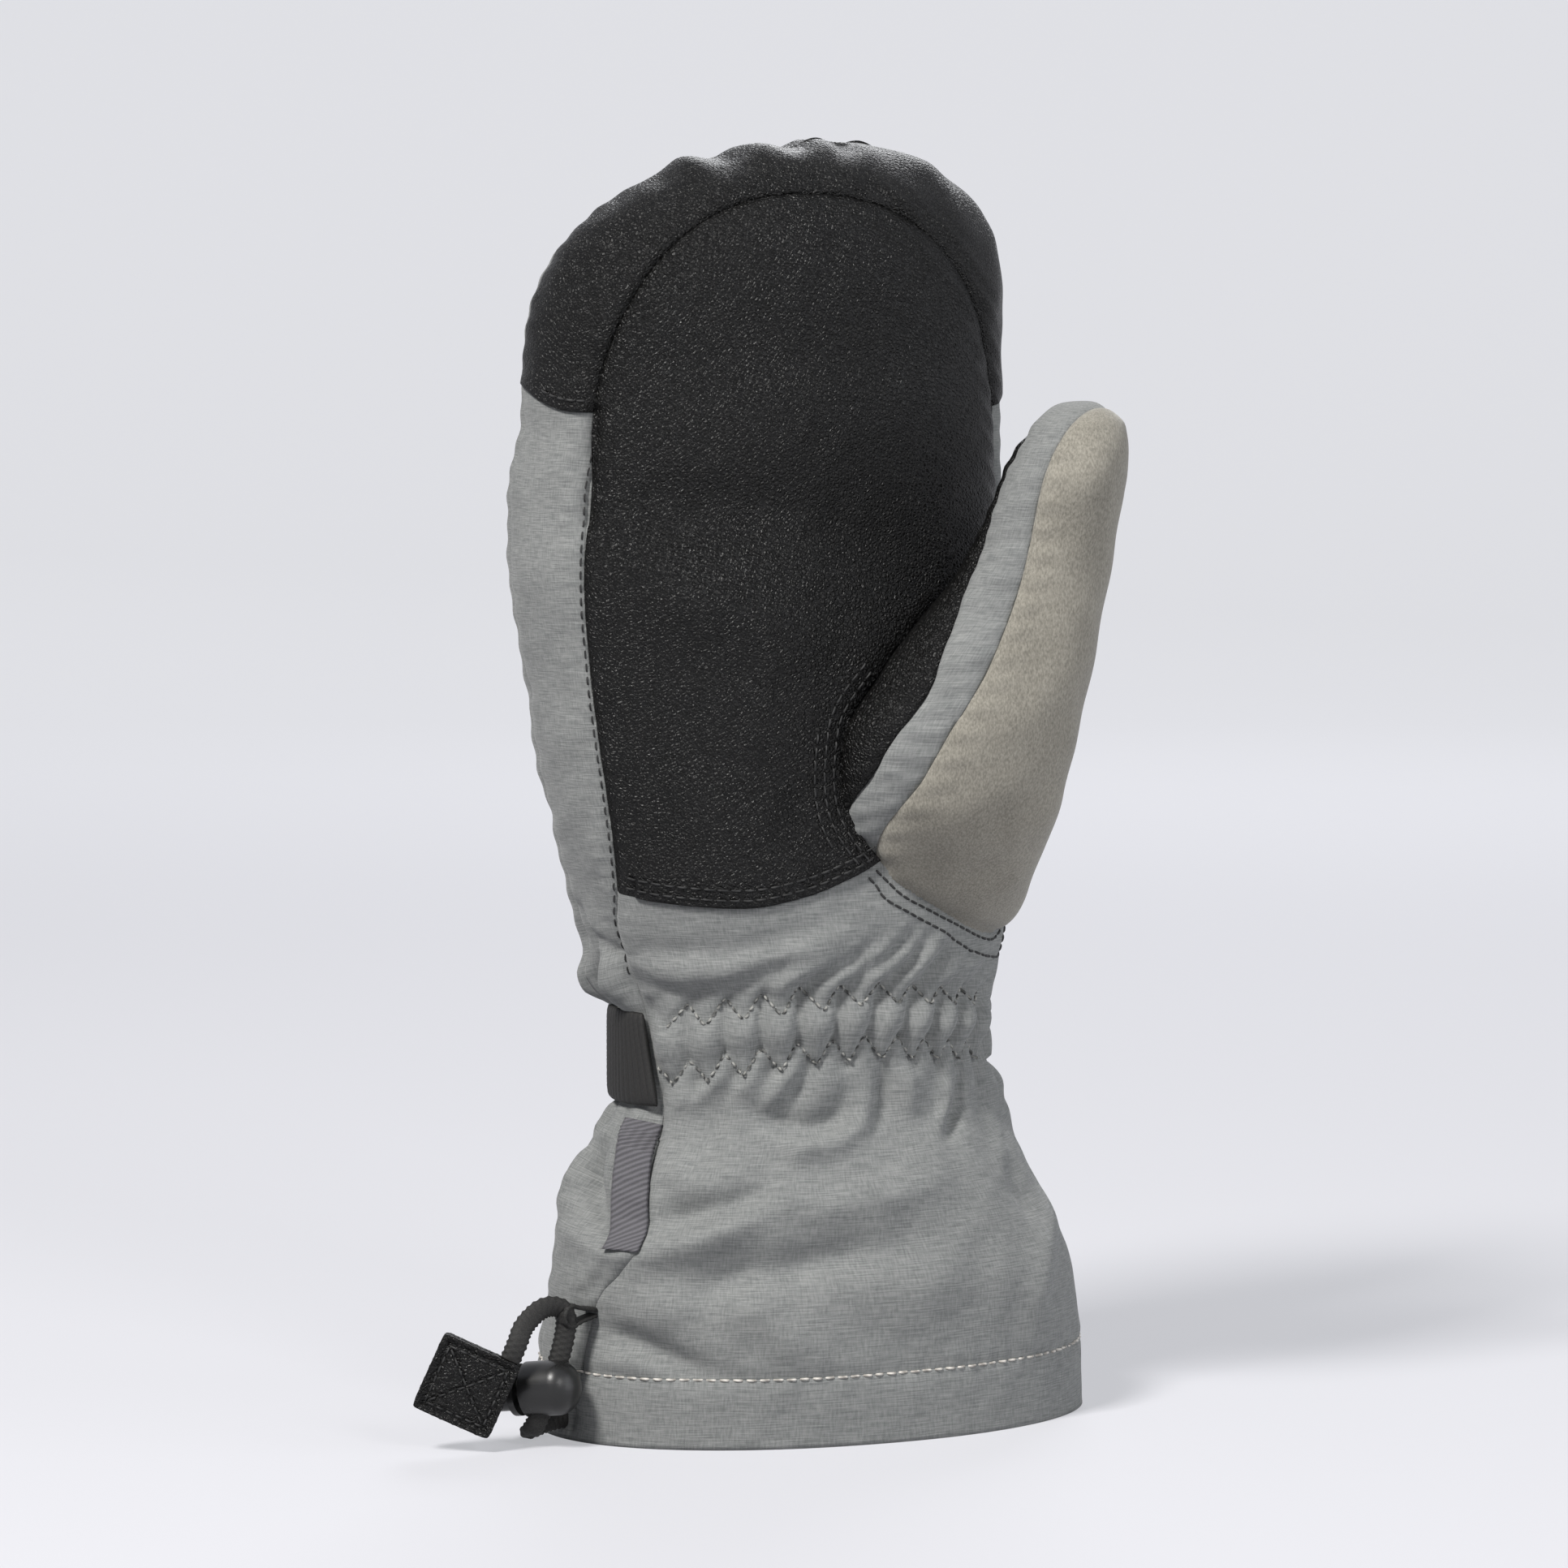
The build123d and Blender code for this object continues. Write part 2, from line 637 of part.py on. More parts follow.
buckle_centre, buckle_normal = wrist_point(buckle_angle, tail_lift + 0.4)
buckle_plane = Plane(buckle_centre, x_dir=Vector(-buckle_normal.Y, buckle_normal.X, 0),
                     z_dir=buckle_normal)
slot = (buckle_length - 4 * buckle_bar) / 3
with BuildPart() as strap_buckle:
    with BuildSketch(buckle_plane):
        RectangleRounded(buckle_length, buckle_height, 2.5)
        for place in (-1, 0, 1):
            with Locations((place * (slot + buckle_bar), 0)):
                Rectangle(slot, buckle_height - 2 * buckle_wall, mode=Mode.SUBTRACT)
    extrude(amount=buckle_thickness)
finish(strap_buckle.part, "strap_buckle")

# ------------------------------------------------------------------------ label
with BuildPart() as side_label:
    add(body_form(-soft_gap - label_thickness))
    add(body_form(-soft_gap), mode=Mode.SUBTRACT)
    add(region(-reach, 0, palm_seam - label_width, palm_seam, label_bottom,
               label_bottom + label_height), mode=Mode.INTERSECT)
finish(side_label.part, "side_label")

# ------------------------------------------------------------------------ thumb
# The thumb bends where it leaves the palm. What is below that place is sewn to the
# hand, and what is above it swings, clear of the hand all the way.
swing_steps = 4
thumb_hinge = Axis(thumb_crook, thumb_axis)
hand_clearance = [body_form(-thumb_gap).rotate(thumb_hinge, -thumb_reach * step / swing_steps)
                  for step in range(swing_steps + 1)]
root_plane = Plane(thumb_crook, z_dir=thumb_along)
with BuildPart() as root_side:
    with BuildSketch(root_plane):
        Circle(reach)
    extrude(amount=-reach)
with BuildPart() as tip_side:
    with BuildSketch(root_plane.offset(thumb_gap)):
        Circle(reach)
    extrude(amount=reach)


def thumb_layer(around, within, name, keep=None):
    """Layer of the thumb between two surfaces: its sewn root, and the thumb that swings."""
    for side, node, hands in ((root_side.part, name.replace("thumb_", "thumb_root_"), 1),
                              (tip_side.part, name, swing_steps + 1)):
        with BuildPart() as piece:
            add(around)
            add(within, mode=Mode.SUBTRACT)
            add(side, mode=Mode.INTERSECT)
            if keep is not None:
                add(keep, mode=Mode.INTERSECT)
            for hand in hand_clearance[:hands]:
                add(hand, mode=Mode.SUBTRACT)
        finish(piece.part, node)


# The thumb's seams run up it as lines in a plane turned towards the palm. Each line
# is given as (distance across that plane, height) from the thumb's root to its tip.
seam_turn = thumb_turn - 40.0
seam_across = Vector(cos(radians(seam_turn)), sin(radians(seam_turn)), 0)
seam_plane = Plane((0, 0, 0), x_dir=seam_across,
                   z_dir=Vector(sin(radians(seam_turn)), -cos(radians(seam_turn)), 0))
leather_edge = [(26.0, 100.0), (26.0, 148.0), (38.0, 165.0), (48.5, 187.0), (50.0, 230.0),
                (56.0, 260.0)]
suede_edge = [(28.0, 100.0), (30.0, 138.0), (48.0, 162.0), (60.0, 190.0), (68.0, 238.0),
              (74.0, 260.0)]
low_seam, high_seam = leather_edge[0][1], leather_edge[-1][1]
palm_edge = [(-reach, low_seam), (-reach, high_seam)]
far_edge = [(reach, low_seam), (reach, high_seam)]


def between_seams(first, second):
    """Prism through the thumb between two seam lines."""
    with BuildPart() as strip:
        with BuildSketch(seam_plane.offset(-reach)):
            with BuildLine():
                Polyline(*first, *reversed(second), close=True)
            make_face()
        extrude(amount=2 * reach)
    return strip.part


thumb_layer(thumb_outer, thumb_shell_inner, "thumb_leather",
            between_seams(palm_edge, leather_edge))
thumb_layer(thumb_outer, thumb_shell_inner, "thumb_gusset",
            between_seams(leather_edge, suede_edge))
thumb_layer(thumb_outer, thumb_shell_inner, "thumb_suede",
            between_seams(suede_edge, far_edge))
thumb_layer(thumb_shell_inner, thumb_fill_inner, "thumb_fill")
thumb_layer(thumb_fill_inner, thumb_membrane_inner, "thumb_membrane")
thumb_layer(thumb_membrane_inner, thumb_cavity, "thumb_lining")
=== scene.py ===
import math

import bpy
import numpy as np
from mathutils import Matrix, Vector


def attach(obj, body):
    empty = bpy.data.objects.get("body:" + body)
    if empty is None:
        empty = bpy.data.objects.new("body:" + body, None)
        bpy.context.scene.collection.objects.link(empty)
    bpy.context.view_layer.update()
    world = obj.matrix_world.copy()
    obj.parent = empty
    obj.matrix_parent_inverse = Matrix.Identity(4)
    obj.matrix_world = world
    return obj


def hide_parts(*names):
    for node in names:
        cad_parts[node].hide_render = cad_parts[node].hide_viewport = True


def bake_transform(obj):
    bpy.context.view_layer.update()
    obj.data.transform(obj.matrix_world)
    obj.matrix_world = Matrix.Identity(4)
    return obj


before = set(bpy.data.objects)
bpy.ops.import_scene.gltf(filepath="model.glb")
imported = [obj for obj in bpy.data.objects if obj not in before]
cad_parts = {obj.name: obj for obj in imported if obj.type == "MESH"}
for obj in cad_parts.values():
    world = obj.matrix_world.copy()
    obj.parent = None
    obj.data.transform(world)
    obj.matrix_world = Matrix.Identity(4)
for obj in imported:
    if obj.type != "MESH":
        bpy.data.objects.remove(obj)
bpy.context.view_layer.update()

bpy.ops.object.select_all(action="DESELECT")
mm = 0.001                # lengths are in mm unless a note says otherwise

cameraSetup = {
    "azimuth": -22.0, "elevation": 5.0,                      # degrees
    "distance": 1.5,                                         # metres
    "lookAt": (-6.3, 2.6, 156.5), "frameHeight": 386.4,
}


def makeCamera(setup):
    turn, tilt = math.radians(setup["azimuth"]), math.radians(setup["elevation"])
    away = Vector((math.sin(turn) * math.cos(tilt), -math.cos(turn) * math.cos(tilt), math.sin(tilt)))
    camera = bpy.data.objects.new("camera", bpy.data.cameras.new("camera"))
    bpy.context.scene.collection.objects.link(camera)
    camera.location = Vector(setup["lookAt"]) * mm + away * setup["distance"]
    camera.rotation_euler = away.to_track_quat("Z", "Y").to_euler()
    camera.data.lens = camera.data.sensor_width * setup["distance"] / (setup["frameHeight"] * mm)
    bpy.context.scene.camera = camera


makeCamera(cameraSetup)
print("stage: camera")

# the padded body of the mitten, and the thumb, as cross-sections closed by a dome
bodyShape = {
    # height, shift to the thumb side, width, depth
    "stations": [(0, 0, 141, 90), (17, 0, 139.5, 89.5), (34, 0, 136, 88), (48, -1, 128, 83),
                 (62, -2, 115, 76), (80, -1.8, 96.5, 62.5), (92, -2.8, 95.6, 62), (104, -3, 98.5, 63.5),
                 (126, -4.8, 112, 67), (150, -6.7, 121, 68.5), (189, -10.4, 127.5, 66),
                 (214, -13.4, 129, 62.5), (228, -14.2, 127.5, 60), (244, -13.0, 124, 58),
                 (262, -12.8, 123, 55.5)],
    "domeStart": 262.0, "domeTop": 313.6, "domePower": 2.35, "domeShift": -1.5, "curl": -4.0,
    "power": 2.12,
}
thumbShape = {
    # height, middle across, middle through, width, depth
    "stations": [(112, 22, -3, 22, 12), (117, 24, -6.5, 34, 19), (122, 24, -10.5, 43, 24),
                 (128, 23, -15.8, 48, 28), (134, 22, -20.5, 51, 32), (156, 20.5, -31, 60, 40),
                 (172, 22.8, -35.3, 60, 39.5), (188, 30, -38.3, 51, 36), (209, 40.6, -41.5, 36.6, 32.5),
                 (230, 46.2, -45, 30.0, 30)],
    "domeStart": 230.0, "domeTop": 251.3, "domePower": 2.35, "domeShift": (4.8, -1.5),
    "turn": -22.0, "power": 2.05,
}
seams = {
    "back": 7.9,                      # degrees from the side, both back seams
    "backWidth": 4.1,                 # how far behind the middle they run over the fingertips
    # the left seam as (height, degrees past the side)
    "left": [(0, 14), (17, 16.5), (28, 18.5), (36, 22.5), (42, 30), (48, 35), (60, 31.5), (70, 28), (80, 26),
             (92, 22.5), (104, 20), (116, 19), (124, 20.5), (135, 26), (150, 29), (190, 31.5), (228, 36.5),
             (320, 37)],
    "arch": 228.0,                    # where the seams leave the straight sides and arch over the top
    "turnUp": (212, 238),             # between these the left seam turns into the arch
    "patchMiddle": -10.0, "patchHalf": 55.0, "patchTop": 301.5, "patchPower": 2.3,
    "patchBottom": [(-70, 134), (-58, 133), (-45, 131), (-30, 130), (-15, 132.5), (-3, 137), (4, 140.5),
                    (14, 146), (60, 150)],
    "capFront": 249.0, "capSide": 256.0, "waist": 97.0, "hem": 17.0, "thumbGusset": 118.0,
    # the thumb's seams as (height, place across the thumb)
    "leatherEdge": [(100, 26), (148, 26), (165, 38), (187, 48.5), (230, 50), (260, 56)],
    "suedeEdge": [(100, 28), (138, 30), (162, 48), (190, 60), (238, 68), (260, 74)],
    "thumbAcross": (0.469, -0.883),
    "thumbRadius": 21.0, "thumbFrom": 230.0, "bodyRadius": 31.0,
    "noSeam": 40.0,                   # distance given where a seam doesn't reach
}
# how deep a seam sinks, how wide, the height of its puckers and their pitch
dips = {
    "left": (1.5, 1.8, 0.22, 6.3), "back": (1.2, 1.6, 0.2, 7.0), "side": (1.5, 1.7, 0.2, 6.5),
    "hole": (0.9, 1.6), "leather": (1.1, 1.5, 0.22, 5.2), "suede": (1.0, 1.5, 0.2, 6.1),
    "thumbHole": (1.0, 1.5),
}


# monotone cubic through the points
def smoothAlong(xs, ys, at):
    xs, ys, at = np.asarray(xs, float), np.asarray(ys, float), np.asarray(at, float)
    steps, slopes = np.diff(xs), np.diff(ys) / np.diff(xs)
    tangents = np.empty_like(ys)
    tangents[0], tangents[-1] = slopes[0], slopes[-1]
    same = slopes[:-1] * slopes[1:] > 0
    left, right = slopes[:-1], slopes[1:]
    safe = np.where(same, left + right, 1.0)
    tangents[1:-1] = np.where(same, 2 * left * right / np.where(same, safe, 1.0), 0.0)
    index = np.clip(np.searchsorted(xs, at) - 1, 0, len(xs) - 2)
    t = np.clip((at - xs[index]) / steps[index], 0, 1)
    h = steps[index]
    return ((1 + 2 * t) * (1 - t) ** 2 * ys[index] + t * (1 - t) ** 2 * h * tangents[index]
            + t * t * (3 - 2 * t) * ys[index + 1] + t * t * (t - 1) * h * tangents[index + 1])


def smoothStep(low, high, value):
    t = np.clip((value - low) / (high - low), 0, 1)
    return t * t * (3 - 2 * t)


def hump(value, width):
    return np.exp(-(value / width) ** 2)


def unit(v):
    return v / np.maximum(np.linalg.norm(v, axis=-1, keepdims=True), 1e-9)


# smooth random waves of about one wavelength, from -1 to 1 or so
def ripple(points, wavelength, seed, stretch=(1, 1, 1)):
    rng = np.random.default_rng(seed)
    total = np.zeros(points.shape[:-1])
    count = 14                        # waves added up
    for _ in range(count):
        way = rng.normal(size=3)
        way /= np.linalg.norm(way)
        size = 2 * math.pi / (wavelength * rng.uniform(0.7, 1.4))
        total += np.sin(points @ (way * size / np.array(stretch)) + rng.uniform(0, 2 * math.pi))
    return total / math.sqrt(count / 2) * 0.6


# tables of a form's cross-sections along its own length, closed by a dome
def makeForm(shape, turn=0.0, start=0.0):
    table = np.array([row if len(row) == 5 else (row[0], row[1], 0.0, row[2], row[3])
                      for row in shape["stations"]], float)
    low, high = table[0, 0], shape["domeStart"]
    heights = np.linspace(low, high, 1200)
    rows = [heights] + [smoothAlong(table[:, 0], table[:, k], heights) for k in (1, 2, 3, 4)]
    rise = np.linspace(0, math.pi / 2, 900)[1:]
    lift = np.sin(rise) ** (2 / shape["domePower"])
    narrow = np.cos(rise) ** (2 / shape["domePower"])
    last = table[-1]
    if "curl" in shape:
        across = last[1] + (shape["domeShift"] - last[1]) * lift ** 1.7
        through = last[2] + shape["curl"] * lift
    else:
        across = last[1] + shape["domeShift"][0] * lift
        through = last[2] + shape["domeShift"][1] * lift
    dome = [high + (shape["domeTop"] - high) * lift, across, through, last[3] * narrow, last[4] * narrow]
    z, cx, cy, width, depth = [np.concatenate(pair) for pair in zip(rows, dome)]
    run = np.concatenate([[0], np.cumsum(np.hypot(np.diff(z), np.diff(width) / 2))])
    return {"run": run, "z": z, "cx": cx, "cy": cy, "a": width / 2, "b": depth / 2,
            "turn": math.radians(turn), "start": math.radians(start), "power": shape["power"],
            "length": run[-1]}


def bodyAngle(form, u):
    return form["start"] + 2 * math.pi * u


# point of a form's surface, u round it and v along it
def formPoint(form, u, v):
    angle = bodyAngle(form, u)
    look = lambda key: np.interp(v, form["run"], form[key])
    c, s = np.cos(angle), np.sin(angle)
    x = look("a") * np.sign(c) * np.abs(c) ** (2 / form["power"])
    y = look("b") * np.sign(s) * np.abs(s) ** (2 / form["power"])
    ct, st = math.cos(form["turn"]), math.sin(form["turn"])
    return np.stack([look("cx") + ct * x - st * y, look("cy") + st * x + ct * y, look("z") + 0 * x], -1)


# outward normals of a form's surface, from its slopes round it and along it
def formNormal(form, u, v, aroundStep, alongStep):
    du = formPoint(form, u + aroundStep, v) - formPoint(form, u - aroundStep, v)
    ahead = np.clip(v + alongStep, 0, form["length"] - 0.05)
    dv = formPoint(form, u, ahead) - formPoint(form, u, np.clip(v - alongStep, 0, None))
    return unit(np.cross(du, dv))


# level outward directions round a form at one height
def levelOut(form, u, v):
    side = formPoint(form, u + 0.001, v) - formPoint(form, u - 0.001, v)
    return unit(np.stack([side[:, 1], -side[:, 0], 0 * u], 1))


# offsets from a form's middle at each point's height, as shares of its half sizes
def formLocal(form, points):
    z = points[..., 2]
    look = lambda key: np.interp(z, form["z"], form[key])
    dx, dy = points[..., 0] - look("cx"), points[..., 1] - look("cy")
    ct, st = math.cos(form["turn"]), math.sin(form["turn"])
    along, across = ct * dx + st * dy, -st * dx + ct * dy
    return along / np.maximum(look("a"), 0.5), across / np.maximum(look("b"), 0.5)


# u and v of the surface point nearest to each point
def formPlace(form, points):
    lx, ly = formLocal(form, points)
    half = form["power"] / 2
    angle = np.arctan2(np.sign(ly) * np.abs(ly) ** half, np.sign(lx) * np.abs(lx) ** half)
    u = ((angle - form["start"]) / (2 * math.pi)) % 1.0
    return u, np.interp(points[..., 2], form["z"], form["run"])


# how far outside a form's cross-section a point is, roughly in mm
def outsideBy(form, points, size):
    lx, ly = formLocal(form, points)
    reach = (np.abs(lx) ** form["power"] + np.abs(ly) ** form["power"]) ** (1 / form["power"])
    z = points[..., 2]
    inRange = (z > form["z"][0]) & (z < form["z"][-1])
    return np.where(inRange, (reach - 1) * size, seams["noSeam"])


bodyForm = makeForm(bodyShape, 0.0, seams["back"])
thumbForm = makeForm(thumbShape, thumbShape["turn"], 140.0)


# signed distances, roughly in mm, to the seam lines of the hand and gauntlet
def bodyFields(form, base, u):
    x, y, z = base[..., 0], base[..., 1], base[..., 2]
    angle = bodyAngle(form, u)
    meanRadius = (np.interp(z, form["z"], form["a"]) + np.interp(z, form["z"], form["b"])) / 2
    depth = np.interp(z, form["z"], form["b"])
    backTurn = np.where(z < seams["arch"], math.radians(seams["back"]),
                        np.arcsin(np.clip(seams["backWidth"] / np.maximum(depth, 0.5), 0, 1)))
    back = np.minimum(angle - backTurn, math.pi - backTurn - angle) * meanRadius
    leftTurn = math.pi + np.radians(smoothAlong(*np.array(seams["left"], float).T, z))
    left = (angle - leftTurn) * meanRadius
    top = (1 - (np.abs((x - seams["patchMiddle"]) / seams["patchHalf"]) ** seams["patchPower"]
                + (np.clip(z - seams["arch"], 0, None)
                   / (seams["patchTop"] - seams["arch"])) ** seams["patchPower"])
           ** (1 / seams["patchPower"])) * 50
    turnUp = smoothStep(*seams["turnUp"], z)
    side = np.where(x < seams["patchMiddle"], (1 - turnUp) * left + turnUp * top, top)
    bottom = z - smoothAlong(*np.array(seams["patchBottom"], float).T, x)
    patch = np.minimum(np.minimum(side, bottom), (angle - math.pi) * meanRadius)
    cap = z - (seams["capFront"] + (seams["capSide"] - seams["capFront"])
               * smoothStep(0, 20, y + np.interp(z, form["z"], form["b"]) * 0.55))
    hole = outsideBy(thumbForm, base, seams["thumbRadius"])
    hole = np.where(angle > math.radians(seams["thumbFrom"]), hole, seams["noSeam"])
    return {"patch": patch, "cap": cap, "back": back, "left": left, "bottom": bottom, "side": side,
            "hole": hole, "hem": z - seams["hem"], "waist": z - seams["waist"],
            "gusset": z - seams["thumbGusset"]}


def thumbFields(form, base, u):
    across = base[..., 0] * seams["thumbAcross"][0] + base[..., 1] * seams["thumbAcross"][1]
    z = base[..., 2]
    return {"leather": smoothAlong(*np.array(seams["leatherEdge"], float).T, z) - across,
            "suede": across - smoothAlong(*np.array(seams["suedeEdge"], float).T, z),
            "hole": outsideBy(bodyForm, base, seams["bodyRadius"])}


poleGap = 0.25            # a grid stops this far before the pole, and a fan closes it


# even grid over a form, with its normals and the true distances to its seams
def makeGrid(form, pitch, fields):
    around = int(round(2 * math.pi * (form["a"].max() + form["b"].max()) / 2 / pitch))
    along = int(round(form["length"] / pitch))
    u, v = np.meshgrid(np.linspace(0, 1, around + 1), np.linspace(0, form["length"] - poleGap, along + 1))
    base = formPoint(form, u, v)
    normal = formNormal(form, u, v, 0.0012, 0.4)
    values = fields(form, base, u)
    alongU, alongV = np.gradient(base, axis=1), np.gradient(base, axis=0)
    e, f, g = (alongU ** 2).sum(-1), (alongU * alongV).sum(-1), (alongV ** 2).sum(-1)
    det = np.maximum(e * g - f * f, 1e-9)
    distances = {}
    for name, value in values.items():
        fu, fv = np.gradient(value, axis=1), np.gradient(value, axis=0)
        slope = np.sqrt(np.maximum((g * fu * fu - 2 * f * fu * fv + e * fv * fv) / det, 1e-6))
        distances[name] = value / np.clip(slope, 0.45, 4.0)
    return {"u": u, "v": v, "base": base, "normal": normal, "values": values,
            "distances": distances, "around": around, "along": along}


# cells of the grid cut along the seam lines, with every value carried to the new corners
def splitGrid(grid, cuts):
    names = sorted(grid["values"])
    parts = [grid["u"][..., None], grid["v"][..., None], grid["base"], grid["normal"]]
    parts += [grid[table][n][..., None] for table in ("values", "distances") for n in names]
    data = np.concatenate(parts, -1).reshape(-1, 8 + 2 * len(names))
    column = {n: 8 + k for k, n in enumerate(names)}
    rows, cols = grid["along"], grid["around"]
    corner = (np.arange(rows)[:, None] * (cols + 1) + np.arange(cols)[None, :]).ravel()
    quads = np.stack([corner, corner + 1, corner + cols + 2, corner + cols + 1], 1)
    polys = []
    for name in cuts:
        f = data[:, column[name]]
        low, high = f[quads].min(1), f[quads].max(1)
        mixed = (low < 0) & (high > 0)
        polys += quads[mixed].tolist()
        quads = quads[~mixed]
        made, fresh, kept = {}, [], []
        for poly in polys:
            marks = [f[i] for i in poly]
            if min(marks) >= 0 or max(marks) <= 0:
                kept.append(poly)
                continue
            above, below = [], []
            for k, i in enumerate(poly):
                j = poly[(k + 1) % len(poly)]
                if f[i] >= 0:
                    above.append(i)
                if f[i] <= 0:
                    below.append(i)
                if f[i] * f[j] < 0:
                    key = (min(i, j), max(i, j))
                    if key not in made:
                        a, b = key
                        t = f[a] / (f[a] - f[b])
                        row = data[a] * (1 - t) + data[b] * t
                        row[column[name]] = 0.0
                        made[key] = len(data) + len(fresh)
                        fresh.append(row)
                    above.append(made[key])
                    below.append(made[key])
            kept += [p for p in (above, below) if len(p) > 2]
        polys = kept
        if fresh:
            data = np.vstack([data, fresh])
    return data, quads, polys, names


# the named values of split corners, as a dictionary
def unpack(data, names):
    out = {"u": data[:, 0], "v": data[:, 1], "base": data[:, 2:5], "normal": unit(data[:, 5:8])}
    count = len(names)
    out["values"] = {n: data[:, 8 + k] for k, n in enumerate(names)}
    out["distances"] = {n: data[:, 8 + count + k] for k, n in enumerate(names)}
    return out


# object of a mesh given in mm, with an optional UV map in metres
def makeMesh(name, points, faces, uv=None):
    mesh = bpy.data.meshes.new(name)
    mesh.from_pydata((np.asarray(points) * mm).tolist(), [], faces)
    mesh.update()
    if uv is not None:
        layer = mesh.uv_layers.new(name="cloth")
        loops = np.empty(len(mesh.loops), int)
        mesh.loops.foreach_get("vertex_index", loops)
        layer.data.foreach_set("uv", (np.asarray(uv)[loops] * mm).astype(np.float32).ravel())
    mesh.shade_smooth()
    piece = bpy.data.objects.new(name, mesh)
    bpy.context.scene.collection.objects.link(piece)
    return piece


# quads between rings of corners, with a face over both ends where they are closed
def tubeFaces(rings, per, closed=True, first=0):
    faces = []
    for r in range(rings - 1):
        for k in range(per):
            n = (k + 1) % per
            faces.append([r * per + k, r * per + n, (r + 1) * per + n, (r + 1) * per + k])
    if closed:
        faces.append(list(range(per))[::-1])
        faces.append([(rings - 1) * per + k for k in range(per)])
    return [[first + corner for corner in face] for face in faces]


# one sewn panel: the kept cells at their finished place, with the edges turned in
def panelMesh(name, split, keep, place, girth, turnIn=1.8):
    data, quads, polys, names = split
    info = unpack(data, names)
    middle = lambda cells: {n: info["values"][n][cells].mean(-1) for n in names}
    faces = quads[keep(middle(quads))].tolist()
    faces += [poly for poly in polys if keep(middle(poly))]
    used = np.unique(np.concatenate([np.ravel(f) for f in faces]))
    fresh = np.full(len(data), -1)
    fresh[used] = np.arange(len(used))
    local = unpack(data[used], names)
    points = place(local)
    faces = [[int(fresh[i]) for i in face] for face in faces]
    edges = {}
    for face in faces:
        for k, i in enumerate(face):
            edges[(i, face[(k + 1) % len(face)])] = True
    rim = [(a, b) for (a, b) in edges if (b, a) not in edges]
    top = data[:, 1].max() - 1e-6
    pole = [(a, b) for a, b in rim if min(local["v"][a], local["v"][b]) > top]
    rim = [edge for edge in rim if edge not in pole]
    inner, extra, extraUv = {}, [], []
    uv = np.stack([local["u"] * girth, local["v"]], 1)
    for a, b in rim:
        for i in (a, b):
            if i not in inner:
                inner[i] = len(points) + len(extra)
                extra.append(points[i] - local["normal"][i] * turnIn)
                extraUv.append(uv[i])
    faces += [[b, a, inner[a], inner[b]] for a, b in rim]
    if pole:
        ring, own = data[:, 1] > top, sorted({i for edge in pole for i in edge})
        lift = ((points[own] - local["base"][own]) * local["normal"][own]).sum(1).mean()
        faces += [[b, a, len(points) + len(extra)] for a, b in pole]
        extra.append(data[ring, 2:5].mean(0) + data[ring, 5:8].mean(0) * lift)
        extraUv.append(uv[own].mean(0))
    points = np.vstack([points, extra])
    return makeMesh(name, points, faces, np.vstack([uv, extraUv]))


wrist = {
    # corners of the two zigzag rows as (across, height); even places are peaks
    "upper": [(-48.5, 104.8), (-45, 99.9), (-41.6, 105.8), (-37.2, 100.9), (-33.4, 107.5), (-28.9, 102.4),
              (-25, 108.9), (-20.1, 103.4), (-15.8, 110.3), (-9.8, 104.3), (-5.5, 110.8), (-0.4, 105.2),
              (5.2, 110.7), (9.8, 105), (14.8, 109.9), (19, 104.2), (23.2, 108.9), (27, 103.4), (30.6, 107.8),
              (34, 102.6), (37.2, 106.6), (40.2, 101.6)],
    "lower": [(-46.7, 90.2), (-43.6, 86.3), (-40.2, 92.2), (-36.5, 87.4), (-32.7, 94), (-28.7, 88.8),
              (-24.7, 95.5), (-20, 90), (-15.9, 96.6), (-11.2, 91), (-7.1, 97.2), (-2.7, 91.5), (1.4, 97.9),
              (6.1, 91.6), (10.5, 97.1), (14.6, 90.9), (18.5, 96.2), (22.4, 90.2), (26, 95.4), (29.4, 89.5),
              (32.6, 94.4), (35.7, 88.8), (38.6, 93.4), (41.2, 88.2)],
    "strapFrom": 52.0, "strapTo": 203.0, "strapHeight": 92.0, "strapWidth": 23.0,
}
# gathers of the wrist: how high they stand between, above and below the rows, and how far they reach
gathers = {
    "between": 2.3, "middle": 1.1, "uneven": 0.3, "above": 1.3, "aboveRight": 1.1, "below": 2.6, "reach": 7.5,
    "far": 1.2, "farReach": 20.0, "rowDip": 0.7, "rowWidth": 1.6, "bandRise": 0.9, "bandWidth": 4.5,
}
# how far the cloth sinks under the strap, and how it puffs out above and below it
strapPuffs = {"sink": 0.9, "above": 3.6, "below": 2.6, "around": 21, "far": 1.1, "farAround": 17}
